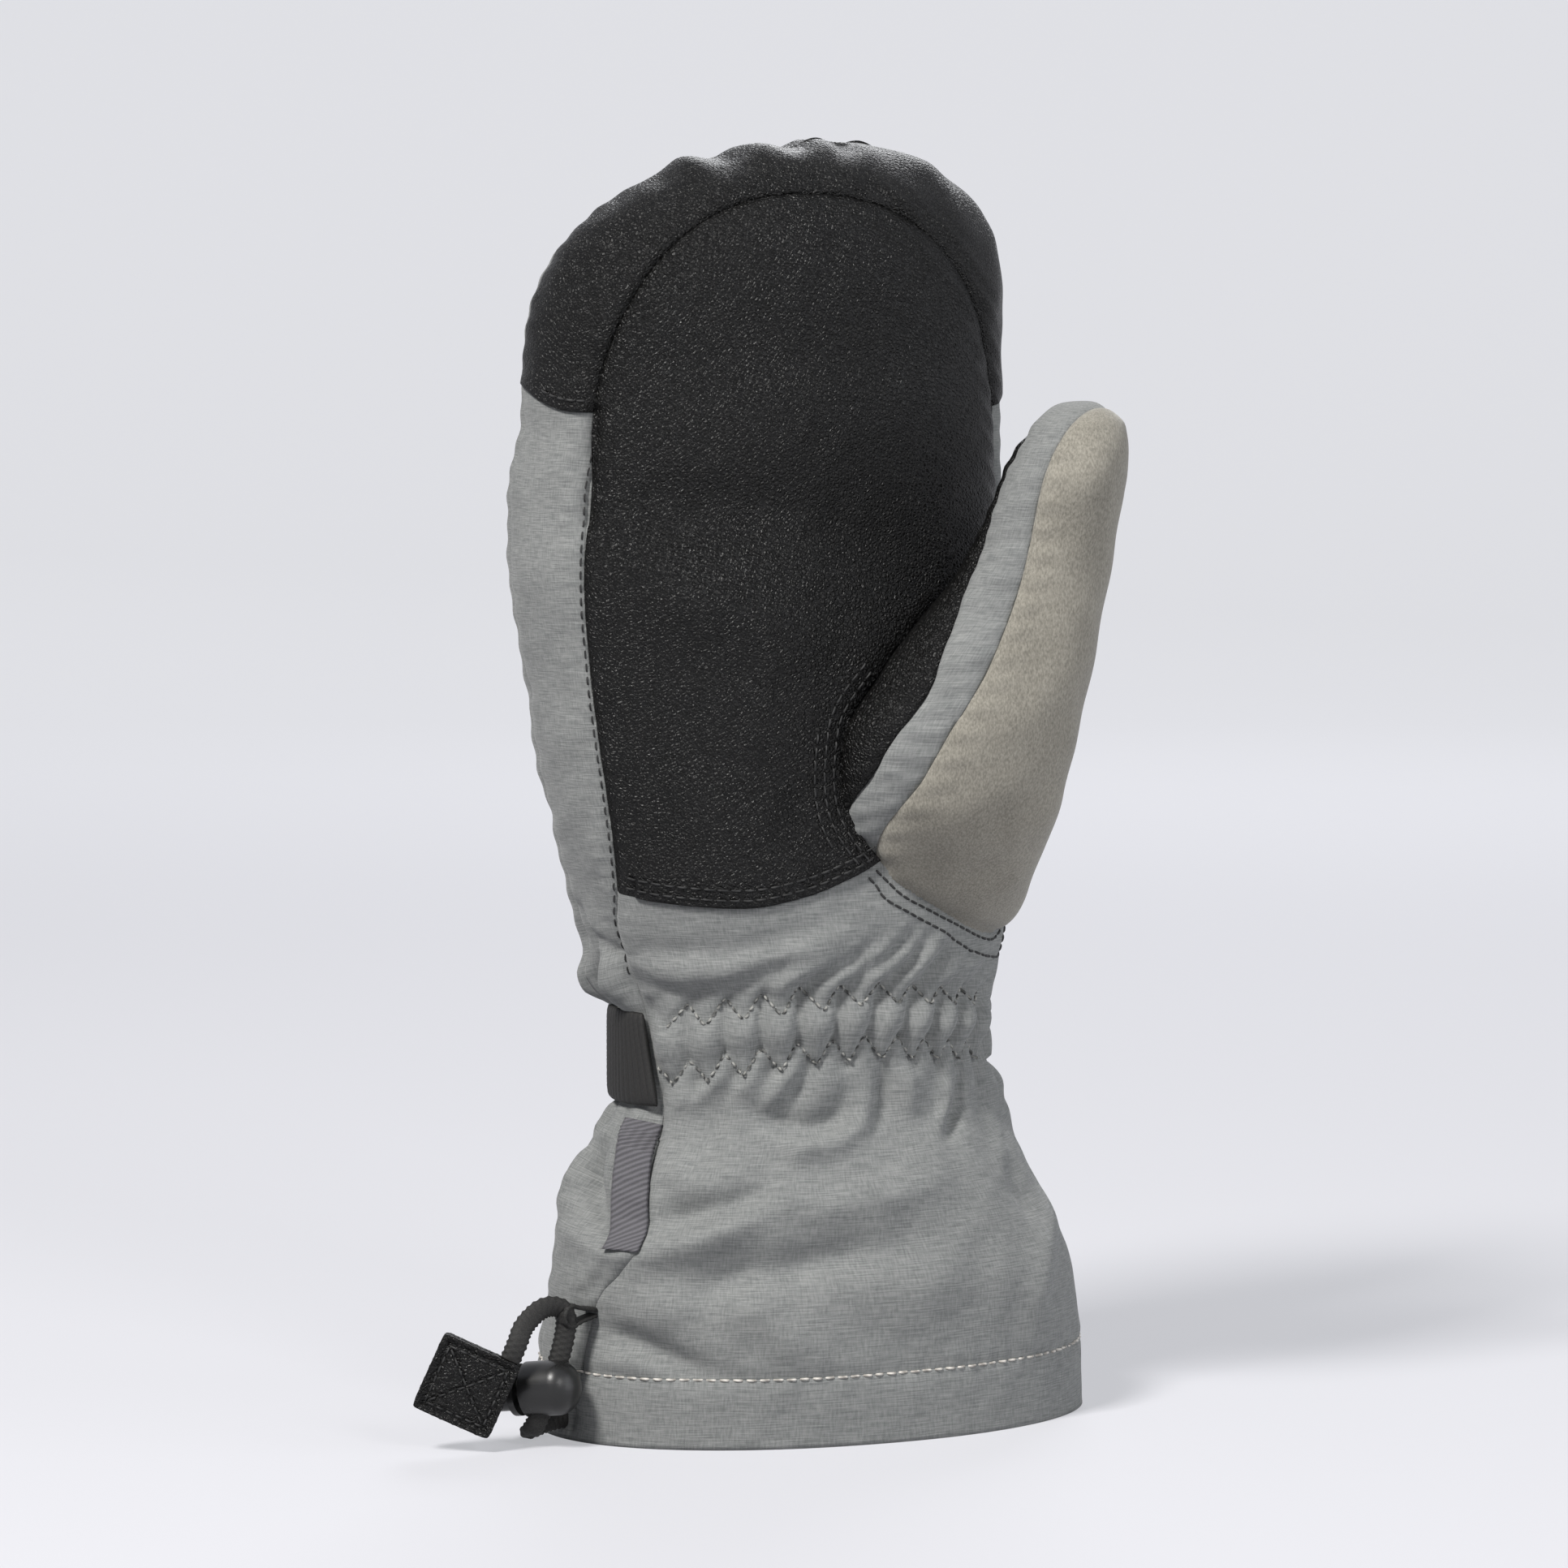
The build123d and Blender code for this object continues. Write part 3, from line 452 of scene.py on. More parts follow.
# soft unevenness as (height, wavelength, seed) for each stretch of cloth
fullness = {"gauntlet": (0.4, 22, 22), "side": (0.8, 34, 31), "sideFine": (0.35, 15, 32), "all": (0.1, 9, 41),
            "hand": (0.5, 52, 42)}
folds = [
    # line of the fold over the cloth, half width, height; a valley has a minus
    ([(-53, -13, 115), (-44, -21, 114), (-33, -28, 115), (-20, -32, 118), (-7, -33, 122), (1, -33, 126)],
     4.5, 2.0),
    ([(-50, -14, 111), (-41, -22, 108), (-30, -28, 111), (-24, -30, 115), (-14, -32, 116)], 2.6, -1.7),
    ([(-55, -12, 119), (-47, -21, 119), (-33, -28, 119), (-20, -32, 122), (-7, -34, 126)], 2.8, -1.1),
    ([(-21, -30, 106), (-21, -30, 110), (-18, -31, 113), (-11, -32, 115), (-5, -33, 118)], 2.3, 1.6),
    ([(-18, -31, 110), (-13, -32, 112), (-3, -33, 116), (3, -33, 121)], 1.9, -1.6),
    ([(-11, -32, 107), (-8, -32, 111), (0, -33, 114), (7, -33, 120), (11, -32, 124)], 2.3, 1.7),
    ([(-6, -32, 111), (-2, -32, 112), (6, -32, 117), (11, -32, 121), (14, -32, 124)], 1.9, -1.6),
    ([(0, -32, 107), (4, -32, 112), (11, -32, 117), (16, -31, 120)], 2.2, 1.5),
    ([(6, -32, 111), (13, -31, 115), (18, -31, 121)], 1.9, -1.5),
    ([(10, -31, 108), (14, -31, 113), (19, -30, 117), (22, -30, 120)], 2.2, 1.4),
    ([(15, -30, 110), (22, -29, 116), (26, -28, 119)], 1.9, -1.3),
    ([(20, -29, 106), (25, -27, 111), (33, -24, 114), (37, -22, 116)], 2.3, 1.3),
    ([(-61, 0, 127), (-57, -3, 117), (-54, -1, 110), (-52, 3, 103)], 2.2, -2.4),
    ([(-60, -3, 123), (-56, -9, 118), (-54, -11, 116)], 1.6, -1.6),
    ([(-56, 7, 117), (-53, 8, 111), (-51, 8, 105)], 4.0, 2.0),
    ([(-57, -7, 113), (-53, -9, 105)], 2.6, 1.4),
    ([(3, -31, 85), (0, -33, 77), (-7, -34, 72), (-17, -34, 71), (-24, -31, 74)], 2.8, 2.6),
    ([(-3, -32, 84), (-7, -32, 78), (-14, -32, 76), (-24, -30, 79), (-30, -28, 82)], 2.6, -2.3),
    ([(24, -26, 88), (24, -27, 79), (21, -31, 73)], 2.1, 2.3),
    ([(29, -24, 88), (29, -25, 79), (24, -30, 72)], 2.0, -2.3),
    ([(6, -31, 89), (6, -31, 81), (3, -34, 74)], 2.0, -1.7),
    ([(14, -30, 90), (14, -31, 82), (12, -33, 76)], 2.4, 1.3),
    ([(-33, -25, 92), (-35, -25, 88), (-38, -24, 85), (-45, -18, 80)], 2.4, 1.6),
    ([(-26, -28, 93), (-28, -28, 88), (-32, -27, 84), (-38, -25, 79)], 2.4, 1.6),
    ([(-17, -30, 94), (-18, -30, 89), (-22, -30, 84), (-28, -30, 79)], 2.4, 1.5),
    ([(-22, -30, 90), (-26, -30, 84), (-32, -29, 79)], 1.9, -1.4),
    ([(42, -14, 85), (48, -9, 77), (50, -4, 70)], 6.5, 3.0),
    ([(-64, -15, 39), (-59, -20, 45), (-53, -26, 47), (-43, -32, 50), (-35, -35, 53), (-24, -37, 58)],
     4.4, 3.9),
    ([(-52, -25, 55), (-44, -30, 56), (-34, -34, 59), (-26, -36, 63)], 3.4, -2.8),
    ([(-47, -31, 40), (-40, -36, 40), (-29, -39, 43), (-13, -41, 45), (9, -41, 48)], 4.6, -3.2),
    ([(-64, -14, 35), (-62, -18, 41), (-59, -20, 45)], 1.8, -1.6),
    ([(-48, -21, 68), (-41, -29, 63), (-38, -32, 60)], 4.0, 1.5),
    ([(-23, -36, 61), (-12, -39, 57), (1, -39, 59), (19, -36, 61)], 4.4, 2.0),
    ([(-64, -19, 21), (-57, -27, 20), (-52, -31, 18)], 2.5, 1.2),
    ([(-64, -18, 28), (-57, -27, 26), (-48, -34, 21), (-39, -38, 18)], 3.0, -2.6),
    ([(-36, -38, 38), (-25, -42, 28), (-18, -43, 22)], 5.0, 1.5),
    ([(56, -18, 50), (51, -27, 44), (46, -34, 32), (44, -36, 22)], 5.0, 2.0),
    ([(43, -22, 67), (44, -27, 58), (50, -26, 49)], 4.0, -1.6),
    ([(-57, 0, 68), (-60, 8, 58), (-64, 2, 51)], 5.0, 2.2),
    ([(-57, 1, 69), (-60, -7, 59), (-60, -15, 51)], 3.4, -4.4),
    ([(-65, 3, 49), (-63, -12, 48), (-60, -19, 46)], 3.2, 1.6),
    ([(-62, -20, 35), (-56, -27, 34), (-44, -34, 33)], 7.0, 1.6),
    ([(-10, -43, 34), (8, -43, 36), (30, -40, 40)], 7.0, 1.0),
    ([(-76, -10, 227), (-60, -24, 226), (-16, -36, 224), (12, -36, 214), (28, -32, 207)], 10.0, -2.8),
    ([(-56, -20, 206), (-34, -34, 202), (-8, -38, 188)], 8.0, 2.2),
    ([(-40, -30, 252), (-10, -36, 254), (14, -34, 247), (22, -32, 230)], 13.0, 1.3),
    ([(-50, -24, 176), (-30, -34, 160), (-6, -36, 150)], 9.0, -0.9),
    ([(-77, -6, 247), (-75, 8, 246)], 5.0, -1.4),
]


# distance to a fold's line, and the share of the way along it
def alongFold(points, run):
    best, where, total = np.full(len(points), 1e9), np.zeros(len(points)), 0.0
    lengths = [math.dist(a, b) for a, b in zip(run, run[1:])]
    for a, b, size in zip(np.array(run[:-1], float), np.array(run[1:], float), lengths):
        t = np.clip((points - a) @ (b - a) / size ** 2, 0, 1)
        gap = np.linalg.norm(points - a - t[:, None] * (b - a), axis=1)
        where = np.where(gap < best, (total + t * size) / sum(lengths), where)
        best = np.minimum(best, gap)
        total += size
    return best, where


# height of a zigzag row, its middle height, and its phase, which is pi at each peak
def rowLine(row, x):
    corners = np.array(wrist[row])
    middle = (corners[:-1] + corners[1:]) / 2
    return (np.interp(x, *corners.T), np.interp(x, *middle.T),
            np.interp(x, corners[:, 0], math.pi * (1 + np.arange(len(corners)))))


# rounded crests with sharp creases between them; crests stand where the phase is zero
def pleat(phase, sharp=0.8):
    return np.abs(np.cos(phase / 2)) ** sharp - 0.6


# how far the cloth stands off its form, from its folds, gathers and fullness
def clothLift(info):
    base, angle = info["base"], bodyAngle(bodyForm, info["u"])
    x, y, z = base[:, 0], base[:, 1], base[:, 2]
    d = info["distances"]
    lift = np.zeros(len(x))
    for run, width, height in folds:
        gap, share = alongFold(base, run)
        taper = smoothStep(-0.02, 0.3, share) * smoothStep(1.02, 0.7, share)
        lift += height * hump(gap, width) * (0.3 + 0.7 * taper)
    # gathers between and beside the zigzag rows
    upLine, upMiddle, upPhase = rowLine("upper", x)
    lowLine, lowMiddle, lowPhase = rowLine("lower", x)
    share = np.clip((z - lowMiddle) / (upMiddle - lowMiddle), 0, 1)
    between = smoothStep(-0.7, 0.5, z - lowLine) * smoothStep(0.7, -0.5, z - upLine)
    above, below = np.clip(z - upMiddle, 0, None), np.clip(lowMiddle - z, 0, None)
    rise = rowLine("upper", x - (0.35 + 0.5 * smoothStep(-30, -5, x)) * above)[2]
    fall = rowLine("lower", x + (0.6 * smoothStep(4, -14, x) - 0.1) * below)[2]
    deep = (gathers["between"] + gathers["middle"] * smoothStep(-40, -18, x)
            + gathers["uneven"] * np.sin(x / 3.1))
    gather = between * deep * (pleat(share * upPhase + (1 - share) * lowPhase) + 0.1)
    high = gathers["above"] + gathers["aboveRight"] * smoothStep(-26, -8, x)
    reach = gathers["reach"]
    gather += smoothStep(-0.5, 0.7, z - upLine) * high * np.exp(-above / reach) * pleat(rise)
    gather += (smoothStep(0.5, -0.7, z - lowLine) * gathers["below"] * np.exp(-below / reach)
               * pleat(fall + math.pi))
    gather += (smoothStep(2, 9, below) * gathers["far"] * np.exp(-below / gathers["farReach"])
               * np.cos((fall + 1) / 2))
    onFront = smoothStep(-1, 3, d["left"]) * smoothStep(8, -2, y)
    rows = hump(z - upLine, gathers["rowWidth"]) + hump(z - lowLine, gathers["rowWidth"])
    band = hump(z - (upMiddle + lowMiddle) / 2, gathers["bandWidth"])
    band -= hump(z - upMiddle, 4) + hump(z - lowMiddle, 4)
    lift += (gather - gathers["rowDip"] * rows + gathers["bandRise"] * band) * onFront
    # under the strap and beside it
    turn = np.degrees(angle)
    strap = smoothStep(wrist["strapFrom"] - 6, wrist["strapFrom"] + 4, turn) * (d["left"] < 0)
    off = np.abs(z - wrist["strapHeight"])
    half = wrist["strapWidth"] / 2
    lift -= strap * strapPuffs["sink"] * smoothStep(half + 2.5, half - 1, off)
    puff = 0.6 + 0.4 * np.sin(angle * strapPuffs["around"] + 2 * ripple(base, 40, 9))
    over = np.where(z > wrist["strapHeight"], strapPuffs["above"], strapPuffs["below"])
    lift += strap * over * puff * hump(off - half - 7.5, 6.0) * smoothStep(half - 1, half + 2, off)
    wave = np.cos(angle * strapPuffs["farAround"] + (z - wrist["strapHeight"]) * 0.04)
    lift += strap * strapPuffs["far"] * wave * hump(off - half - 13, 11.0)
    # fullness of the loose gauntlet and the soft side panels
    uneven = {name: height * ripple(base, length, seed) for name, (height, length, seed) in fullness.items()
              if name != "side"}
    loose = smoothStep(84, 62, z) * smoothStep(8, 26, z)
    behind = smoothStep(-10, 6, y)
    lift += loose * ((0.7 + 0.8 * behind) * ripple(base, 46, 21, (1, 1, 1.3)) + uneven["gauntlet"])
    hand = smoothStep(108, 124, z)
    soft = hand * smoothStep(0, -4, np.maximum(d["left"], -80)) * smoothStep(262, 250, z)
    height, length, seed = fullness["side"]
    lift += soft * (height * ripple(base, length, seed, (1, 1, 0.7)) + uneven["sideFine"])
    lift += uneven["all"] + hand * uneven["hand"]
    return lift


# a sewn valley, and the small puckers beside it
def seamDip(distance, along, depth, width, pucker=0.0, pitch=1.0):
    dip = -depth * np.exp(-np.abs(distance) / width)
    return dip + pucker * np.sin(2 * math.pi * along / pitch) * hump(np.abs(distance) - 3.5, 3.5)


# the finished place of a panel's corners; lap raises a panel whose edges lie over the next one
def placeBody(lap):
    def place(info):
        base, normal, d = info["base"], info["normal"], info["distances"]
        x, y, z = base[:, 0], base[:, 1], base[:, 2]
        lift = clothLift(info)
        leftSeam = np.where(z < seams["arch"] + 22, np.abs(d["left"]), 50)
        lift += seamDip(leftSeam, z + 2 * np.sin(z * 0.7), *dips["left"])
        lift += seamDip(d["back"], z + x * 0.4, *dips["back"])
        sideSeam = np.where(z > seams["arch"] - 6, seamDip(d["side"], x + z, *dips["side"]), 0)
        lift += smoothStep(4, -4, y) * sideSeam
        lift += seamDip(np.where(z > 100, d["hole"], 50), z, *dips["hole"])
        # gathers of the leather over the fingertips
        scallop = smoothStep(284, 298, z) * hump(d["back"] + 6, 9.0) * smoothStep(-52, -36, x)
        wave = np.cos(2 * math.pi * x / 16.0 + 1.2 + 0.5 * np.sin(x / 7))
        lift += 1.2 * scallop * wave * (d["back"] < 0)
        crimp = smoothStep(262, 285, z) * smoothStep(0.5, -3, d["side"]) * (d["back"] < 0)
        lift += 0.5 * crimp * ripple(base, 16, 51)
        lift -= 0.5 * hump(z - seams["hem"], 1.5)
        lift += 0.25 * np.sin(2 * math.pi * (x + y) / 6.1) * hump(z - seams["hem"], 4.5)
        if lap:
            edge = np.where(d["left"] > 6, np.minimum(d["bottom"], 50), 50)
            lift += 0.15 + 0.75 * smoothStep(16, 4, edge)
            lift += 0.5 * smoothStep(12, 2, d["hole"])
            capEdge = np.where(z < 275, np.abs(d["cap"]), 50)
            lift += 0.5 * smoothStep(8, 1, capEdge) * (d["side"] < 0)
        return base + normal * (lift * smoothStep(0, 3, z))[:, None]
    return place


bodyGrid = makeGrid(bodyForm, 1.15, bodyFields)
bodyGrid["values"]["hole"] = bodyGrid["values"]["hole"] + 0.6        # the panels reach into the thumb
bodySplit = splitGrid(bodyGrid, ["hem", "waist", "gusset", "left", "back", "patch", "cap", "hole"])
print("stage: body grid", bodyGrid["along"], bodyGrid["around"])

outsideThumb = lambda f: f["hole"] > 0
handHeight = lambda f: f["waist"] > 0
bodyPanels = {
    # name: (node it replaces, which cells it keeps, lapped)
    "palmPatch": ("palm_patch", lambda f: outsideThumb(f) & (f["patch"] > 0), True),
    "fingerCap": ("finger_cap", lambda f: (f["patch"] <= 0) & (f["cap"] > 0) & (f["back"] <= 0), True),
    "backPanel": ("back_panel", lambda f: handHeight(f) & (f["back"] > 0), False),
    "sideGusset": ("side_gusset", lambda f: handHeight(f) & (f["back"] <= 0) & (f["left"] <= 0)
                   & (f["cap"] <= 0) & (f["patch"] <= 0), False),
    "gauntletBack": ("gauntlet_back",
                     lambda f: (f["hem"] > 0) & (f["waist"] <= 0) & (f["left"] <= 0), False),
    "gauntletPalm": ("gauntlet_palm", lambda f: (f["hem"] > 0) & (f["left"] > 0) & (f["gusset"] <= 0)
                     | outsideThumb(f) & (f["left"] > 0) & (f["patch"] <= 0) & (f["bottom"] <= 0)
                     & (f["gusset"] > 0) & (f["side"] > 0), False),
    "thumbSideGusset": ("thumb_side_gusset", lambda f: outsideThumb(f) & (f["gusset"] > 0)
                        & (f["left"] > 0) & (f["back"] <= 0) & (f["cap"] <= 0) & (f["patch"] <= 0)
                        & ~((f["bottom"] <= 0) & (f["side"] > 0)), False),
}
girth = 330.0             # round the hand, for the cloth's own map
bodyPieces = {}
for name, (node, keep, lap) in bodyPanels.items():
    bodyPieces[name] = panelMesh(name, bodySplit, keep, placeBody(lap), girth)
    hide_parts(node)
    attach(bodyPieces[name], "mitten")
print("stage: body panels")

hemShape = {"roll": 1.4, "wall": 2.8, "innerTop": 16.0}


# rings round a form at the given offsets and heights
def ringLayer(form, offsets, heights, pitch=2.2):
    around = int(360 / pitch)
    u = np.linspace(0, 1, around + 1)[:-1]
    points = []
    for offset, height in zip(offsets, heights):
        v = np.interp(height, form["z"], form["run"]) + 0 * u
        spot = formPoint(form, u, v) + levelOut(form, u, v) * offset
        spot[:, 2] = height
        points.append(spot)
    return np.vstack(points), around


# the band's outer face, and its wall rolled in under it, joined as one piece
hemBand = panelMesh("hemBand", bodySplit, lambda f: f["hem"] <= 0, placeBody(False), girth, 1.0)
roll = np.linspace(0, math.pi / 2, 6)
wall = hemShape["wall"]
innerOffsets = list(-hemShape["roll"] * (1 + np.sin(roll))) + [-wall - 0.2, -wall]
innerHeights = list(hemShape["roll"] * (1 - np.cos(roll))) + [8.0, hemShape["innerTop"]]
innerPoints, perRing = ringLayer(bodyForm, innerOffsets, innerHeights)
innerFaces = [face[::-1] for face in tubeFaces(len(innerHeights), perRing, False)]
acrossMap = np.tile(np.linspace(0, girth, perRing), len(innerHeights))
hemInner = makeMesh("hemInner", innerPoints, innerFaces, np.stack([acrossMap, innerPoints[:, 2]], 1))
bpy.ops.object.select_all(action="DESELECT")
hemInner.select_set(True)
hemBand.select_set(True)
bpy.context.view_layer.objects.active = hemBand
bpy.ops.object.join()
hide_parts("hem_band")
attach(hemBand, "mitten")


thumbLap = {"leather": 0.25, "suede": 0.35, "gusset": 0.0}


def placeThumb(kind):
    def place(info):
        base, normal, d = info["base"], info["normal"], info["distances"]
        x, y, z = base[:, 0], base[:, 1], base[:, 2]
        lift = 0.45 * ripple(base, 30, 61) + 0.15 * ripple(base, 12, 62)
        if kind == "suede":
            lift += 0.25 * ripple(base, 18, 63)
        if kind == "gusset":
            lift += 0.5 * ripple(base, 17, 64)
            # a crease and a roll at the thumb's crook
            lean = (z - 163) * 0.12
            lift -= 1.4 * hump(np.abs(x - 16 + lean), 1.6) * hump(z - 165, 9) * (y < -20)
            lift += 1.0 * hump(np.abs(x - 19.5 + lean), 2.4) * hump(z - 165, 10) * (y < -20)
        lift += seamDip(d["leather"], z, *dips["leather"]) + seamDip(d["suede"], z, *dips["suede"])
        lift += seamDip(d["hole"], z, *dips["thumbHole"]) + thumbLap[kind]
        return base + normal * lift[:, None]
    return place


thumbGrid = makeGrid(thumbForm, 1.0, thumbFields)
thumbGrid["values"]["hole"] = thumbGrid["values"]["hole"] + 2.6      # the panels reach into the hand
thumbSplit = splitGrid(thumbGrid, ["leather", "suede", "hole"])
thumbPanels = {
    # name: (nodes it replaces, kind of place, which cells it keeps)
    "thumbLeather": (("thumb_leather", "thumb_root_leather"), "leather",
                     lambda f: (f["hole"] > 0) & (f["leather"] > 0)),
    "thumbGusset": (("thumb_gusset", "thumb_root_gusset"), "gusset",
                    lambda f: (f["hole"] > 0) & (f["leather"] <= 0) & (f["suede"] <= 0)),
    "thumbSuede": (("thumb_suede", "thumb_root_suede"), "suede",
                   lambda f: (f["hole"] > 0) & (f["suede"] > 0)),
}
thumbPieces = {}


def bendThumb(piece):
    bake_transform(piece)


for name, (nodes, kind, keep) in thumbPanels.items():
    thumbPieces[name] = panelMesh(name, thumbSplit, keep, placeThumb(kind), 140.0)
    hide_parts(*nodes)
    bendThumb(thumbPieces[name])
print("stage: thumb")


# a closed layer inside the form: its outer skin, its inner skin and the rims between them
def innerLayer(name, form, inset, low, high, wall, sink, pitch=3.0):
    around = int(2 * math.pi * form["a"].max() / pitch)
    start, stop = np.interp([low, high], form["z"], form["run"])
    along = int((stop - start) / pitch)
    u, v = np.meshgrid(np.linspace(0, 1, around + 1)[:-1], np.linspace(start, stop, along))
    base = formPoint(form, u, v)
    normal = formNormal(form, u, v, 0.002, 0.5)
    height = base[..., 2:]
    wave = 0.35 * ripple(base, 24, 71)[..., None]
    wave = wave + sink * (smoothStep(18, 34, height) - 0.55 * smoothStep(100, 125, height))
    skins = [(base - normal * (depth + wave)).reshape(-1, 3) for depth in (inset, inset + wall)]
    count = around * along
    faces = tubeFaces(along, around, False)
    faces += [face[::-1] for face in tubeFaces(along, around, False, count)]
    last = count - around
    for i in range(around):
        j = (i + 1) % around
        faces.append([j, i, count + i, count + j])
        faces.append([last + i, last + j, count + last + j, count + last + i])
    uv = np.stack([np.tile(u.ravel() * girth, 2), np.tile(v.ravel(), 2)], 1)
    return makeMesh(name, np.vstack(skins), faces, uv)


layers = {
    # name: (form, inset, from, to, wall, how far it sinks below the waist's folds, nodes, share of filling)
    "palmFill": (bodyForm, 4.2, 104, 306, 2.4, 3.6, ("fill_palm", "fill_back"), 0.8),
    "membrane": (bodyForm, 3.7, 19, 306, 0.3, 3.6, ("membrane_insert",), None),
    "handLining": (bodyForm, 7.0, 93, 303, 1.0, 3.6, ("lining_hand",), None),
    "gauntletLining": (bodyForm, 4.4, 14, 96, 1.0, 3.6, ("lining_gauntlet",), None),
    "thumbMembrane": (thumbForm, 2.4, 150, 248, 0.3, 0.0, ("thumb_membrane", "thumb_root_membrane"), None),
    "thumbFill": (thumbForm, 2.9, 150, 247, 1.6, 0.0, ("thumb_fill", "thumb_root_fill"), 0.8),
    "thumbLining": (thumbForm, 5.0, 152, 245, 0.9, 0.0, ("thumb_lining", "thumb_root_lining"), None),
}
layerPieces = {}
for name, (form, inset, low, high, wall, sink, nodes, fill) in layers.items():
    layerPieces[name] = innerLayer(name, form, inset, low, high, wall, sink)
    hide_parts(*nodes)
    if form is bodyForm:
        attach(layerPieces[name], "mitten")
    else:
        bendThumb(layerPieces[name])
print("stage: layers")


# everything the placing functions need, at free points of a form
def sampleGrid(grid, form, u, v):
    iu = (np.asarray(u) % 1.0) * grid["around"]
    iv = np.clip(np.asarray(v) / (form["length"] - poleGap), 0, 1) * grid["along"]
    i0 = np.minimum(iu.astype(int), grid["around"] - 1)
    j0 = np.minimum(iv.astype(int), grid["along"] - 1)
    fu, fv = iu - i0, iv - j0

    def mix(table):
        extra = (None,) * (table.ndim - 2)
        a, b = fu[(...,) + extra], fv[(...,) + extra]
        return ((table[j0, i0] * (1 - a) + table[j0, i0 + 1] * a) * (1 - b)
                + (table[j0 + 1, i0] * (1 - a) + table[j0 + 1, i0 + 1] * a) * b)
    return {"u": np.asarray(u) % 1.0, "v": np.asarray(v), "base": formPoint(form, u, v),
            "normal": unit(mix(grid["normal"])),
            "values": {n: mix(t) for n, t in grid["values"].items()},
            "distances": {n: mix(t) for n, t in grid["distances"].items()}}


# u and v of points of the palm side given by x and height
def palmPlace(x, z):
    x, z = np.asarray(x, float), np.asarray(z, float)
    look = lambda key: np.interp(z, bodyForm["z"], bodyForm[key])
    power = bodyForm["power"]
    share = np.clip((x - look("cx")) / look("a"), -1, 1)
    y = look("cy") - look("b") * (1 - np.abs(share) ** power) ** (1 / power)
    return formPlace(bodyForm, np.stack([x, y, z], -1))


def clothPoints(u, v, lap=False):
    info = sampleGrid(bodyGrid, bodyForm, u, v)
    return placeBody(lap)(info), info["normal"]


# points a step apart along a polyline
def evenRun(points, step):
    points = np.asarray(points, float)
    run = np.concatenate([[0], np.cumsum(np.linalg.norm(np.diff(points, axis=0), axis=1))])
    at = np.linspace(0, run[-1], max(2, int(round(run[-1] / step)) + 1))
    return np.stack([np.interp(at, run, points[:, k]) for k in range(3)], 1)


def newMaterial(name, **values):
    material = bpy.data.materials.new(name)
    material.use_nodes = True
    shader = material.node_tree.nodes["Principled BSDF"]
    for key, value in values.items():
        shader.inputs[key].default_value = (*value, 1) if isinstance(value, tuple) else value
    return material, material.node_tree, shader


# a node with its settings, and links given as (input, socket)
def addNode(tree, kind, links=(), **settings):
    node = tree.nodes.new("ShaderNode" + kind)
    for key, value in settings.items():
        if hasattr(node, key):
            setattr(node, key, value)
        else:
            node.inputs[key.replace("_", " ")].default_value = value
    for name, socket in links:
        tree.links.new(socket, node.inputs[name])
    return node


def newGroup(name, inputs, outputs):
    group = bpy.data.node_groups.new(name, "ShaderNodeTree")
    for label, kind, value in inputs:
        socket = group.interface.new_socket(label, in_out="INPUT", socket_type="NodeSocket" + kind)
        if value is not None:
            socket.default_value = value
    for label, kind in outputs:
        group.interface.new_socket(label, in_out="OUTPUT", socket_type="NodeSocket" + kind)
    return group, group.nodes.new("NodeGroupInput"), group.nodes.new("NodeGroupOutput")


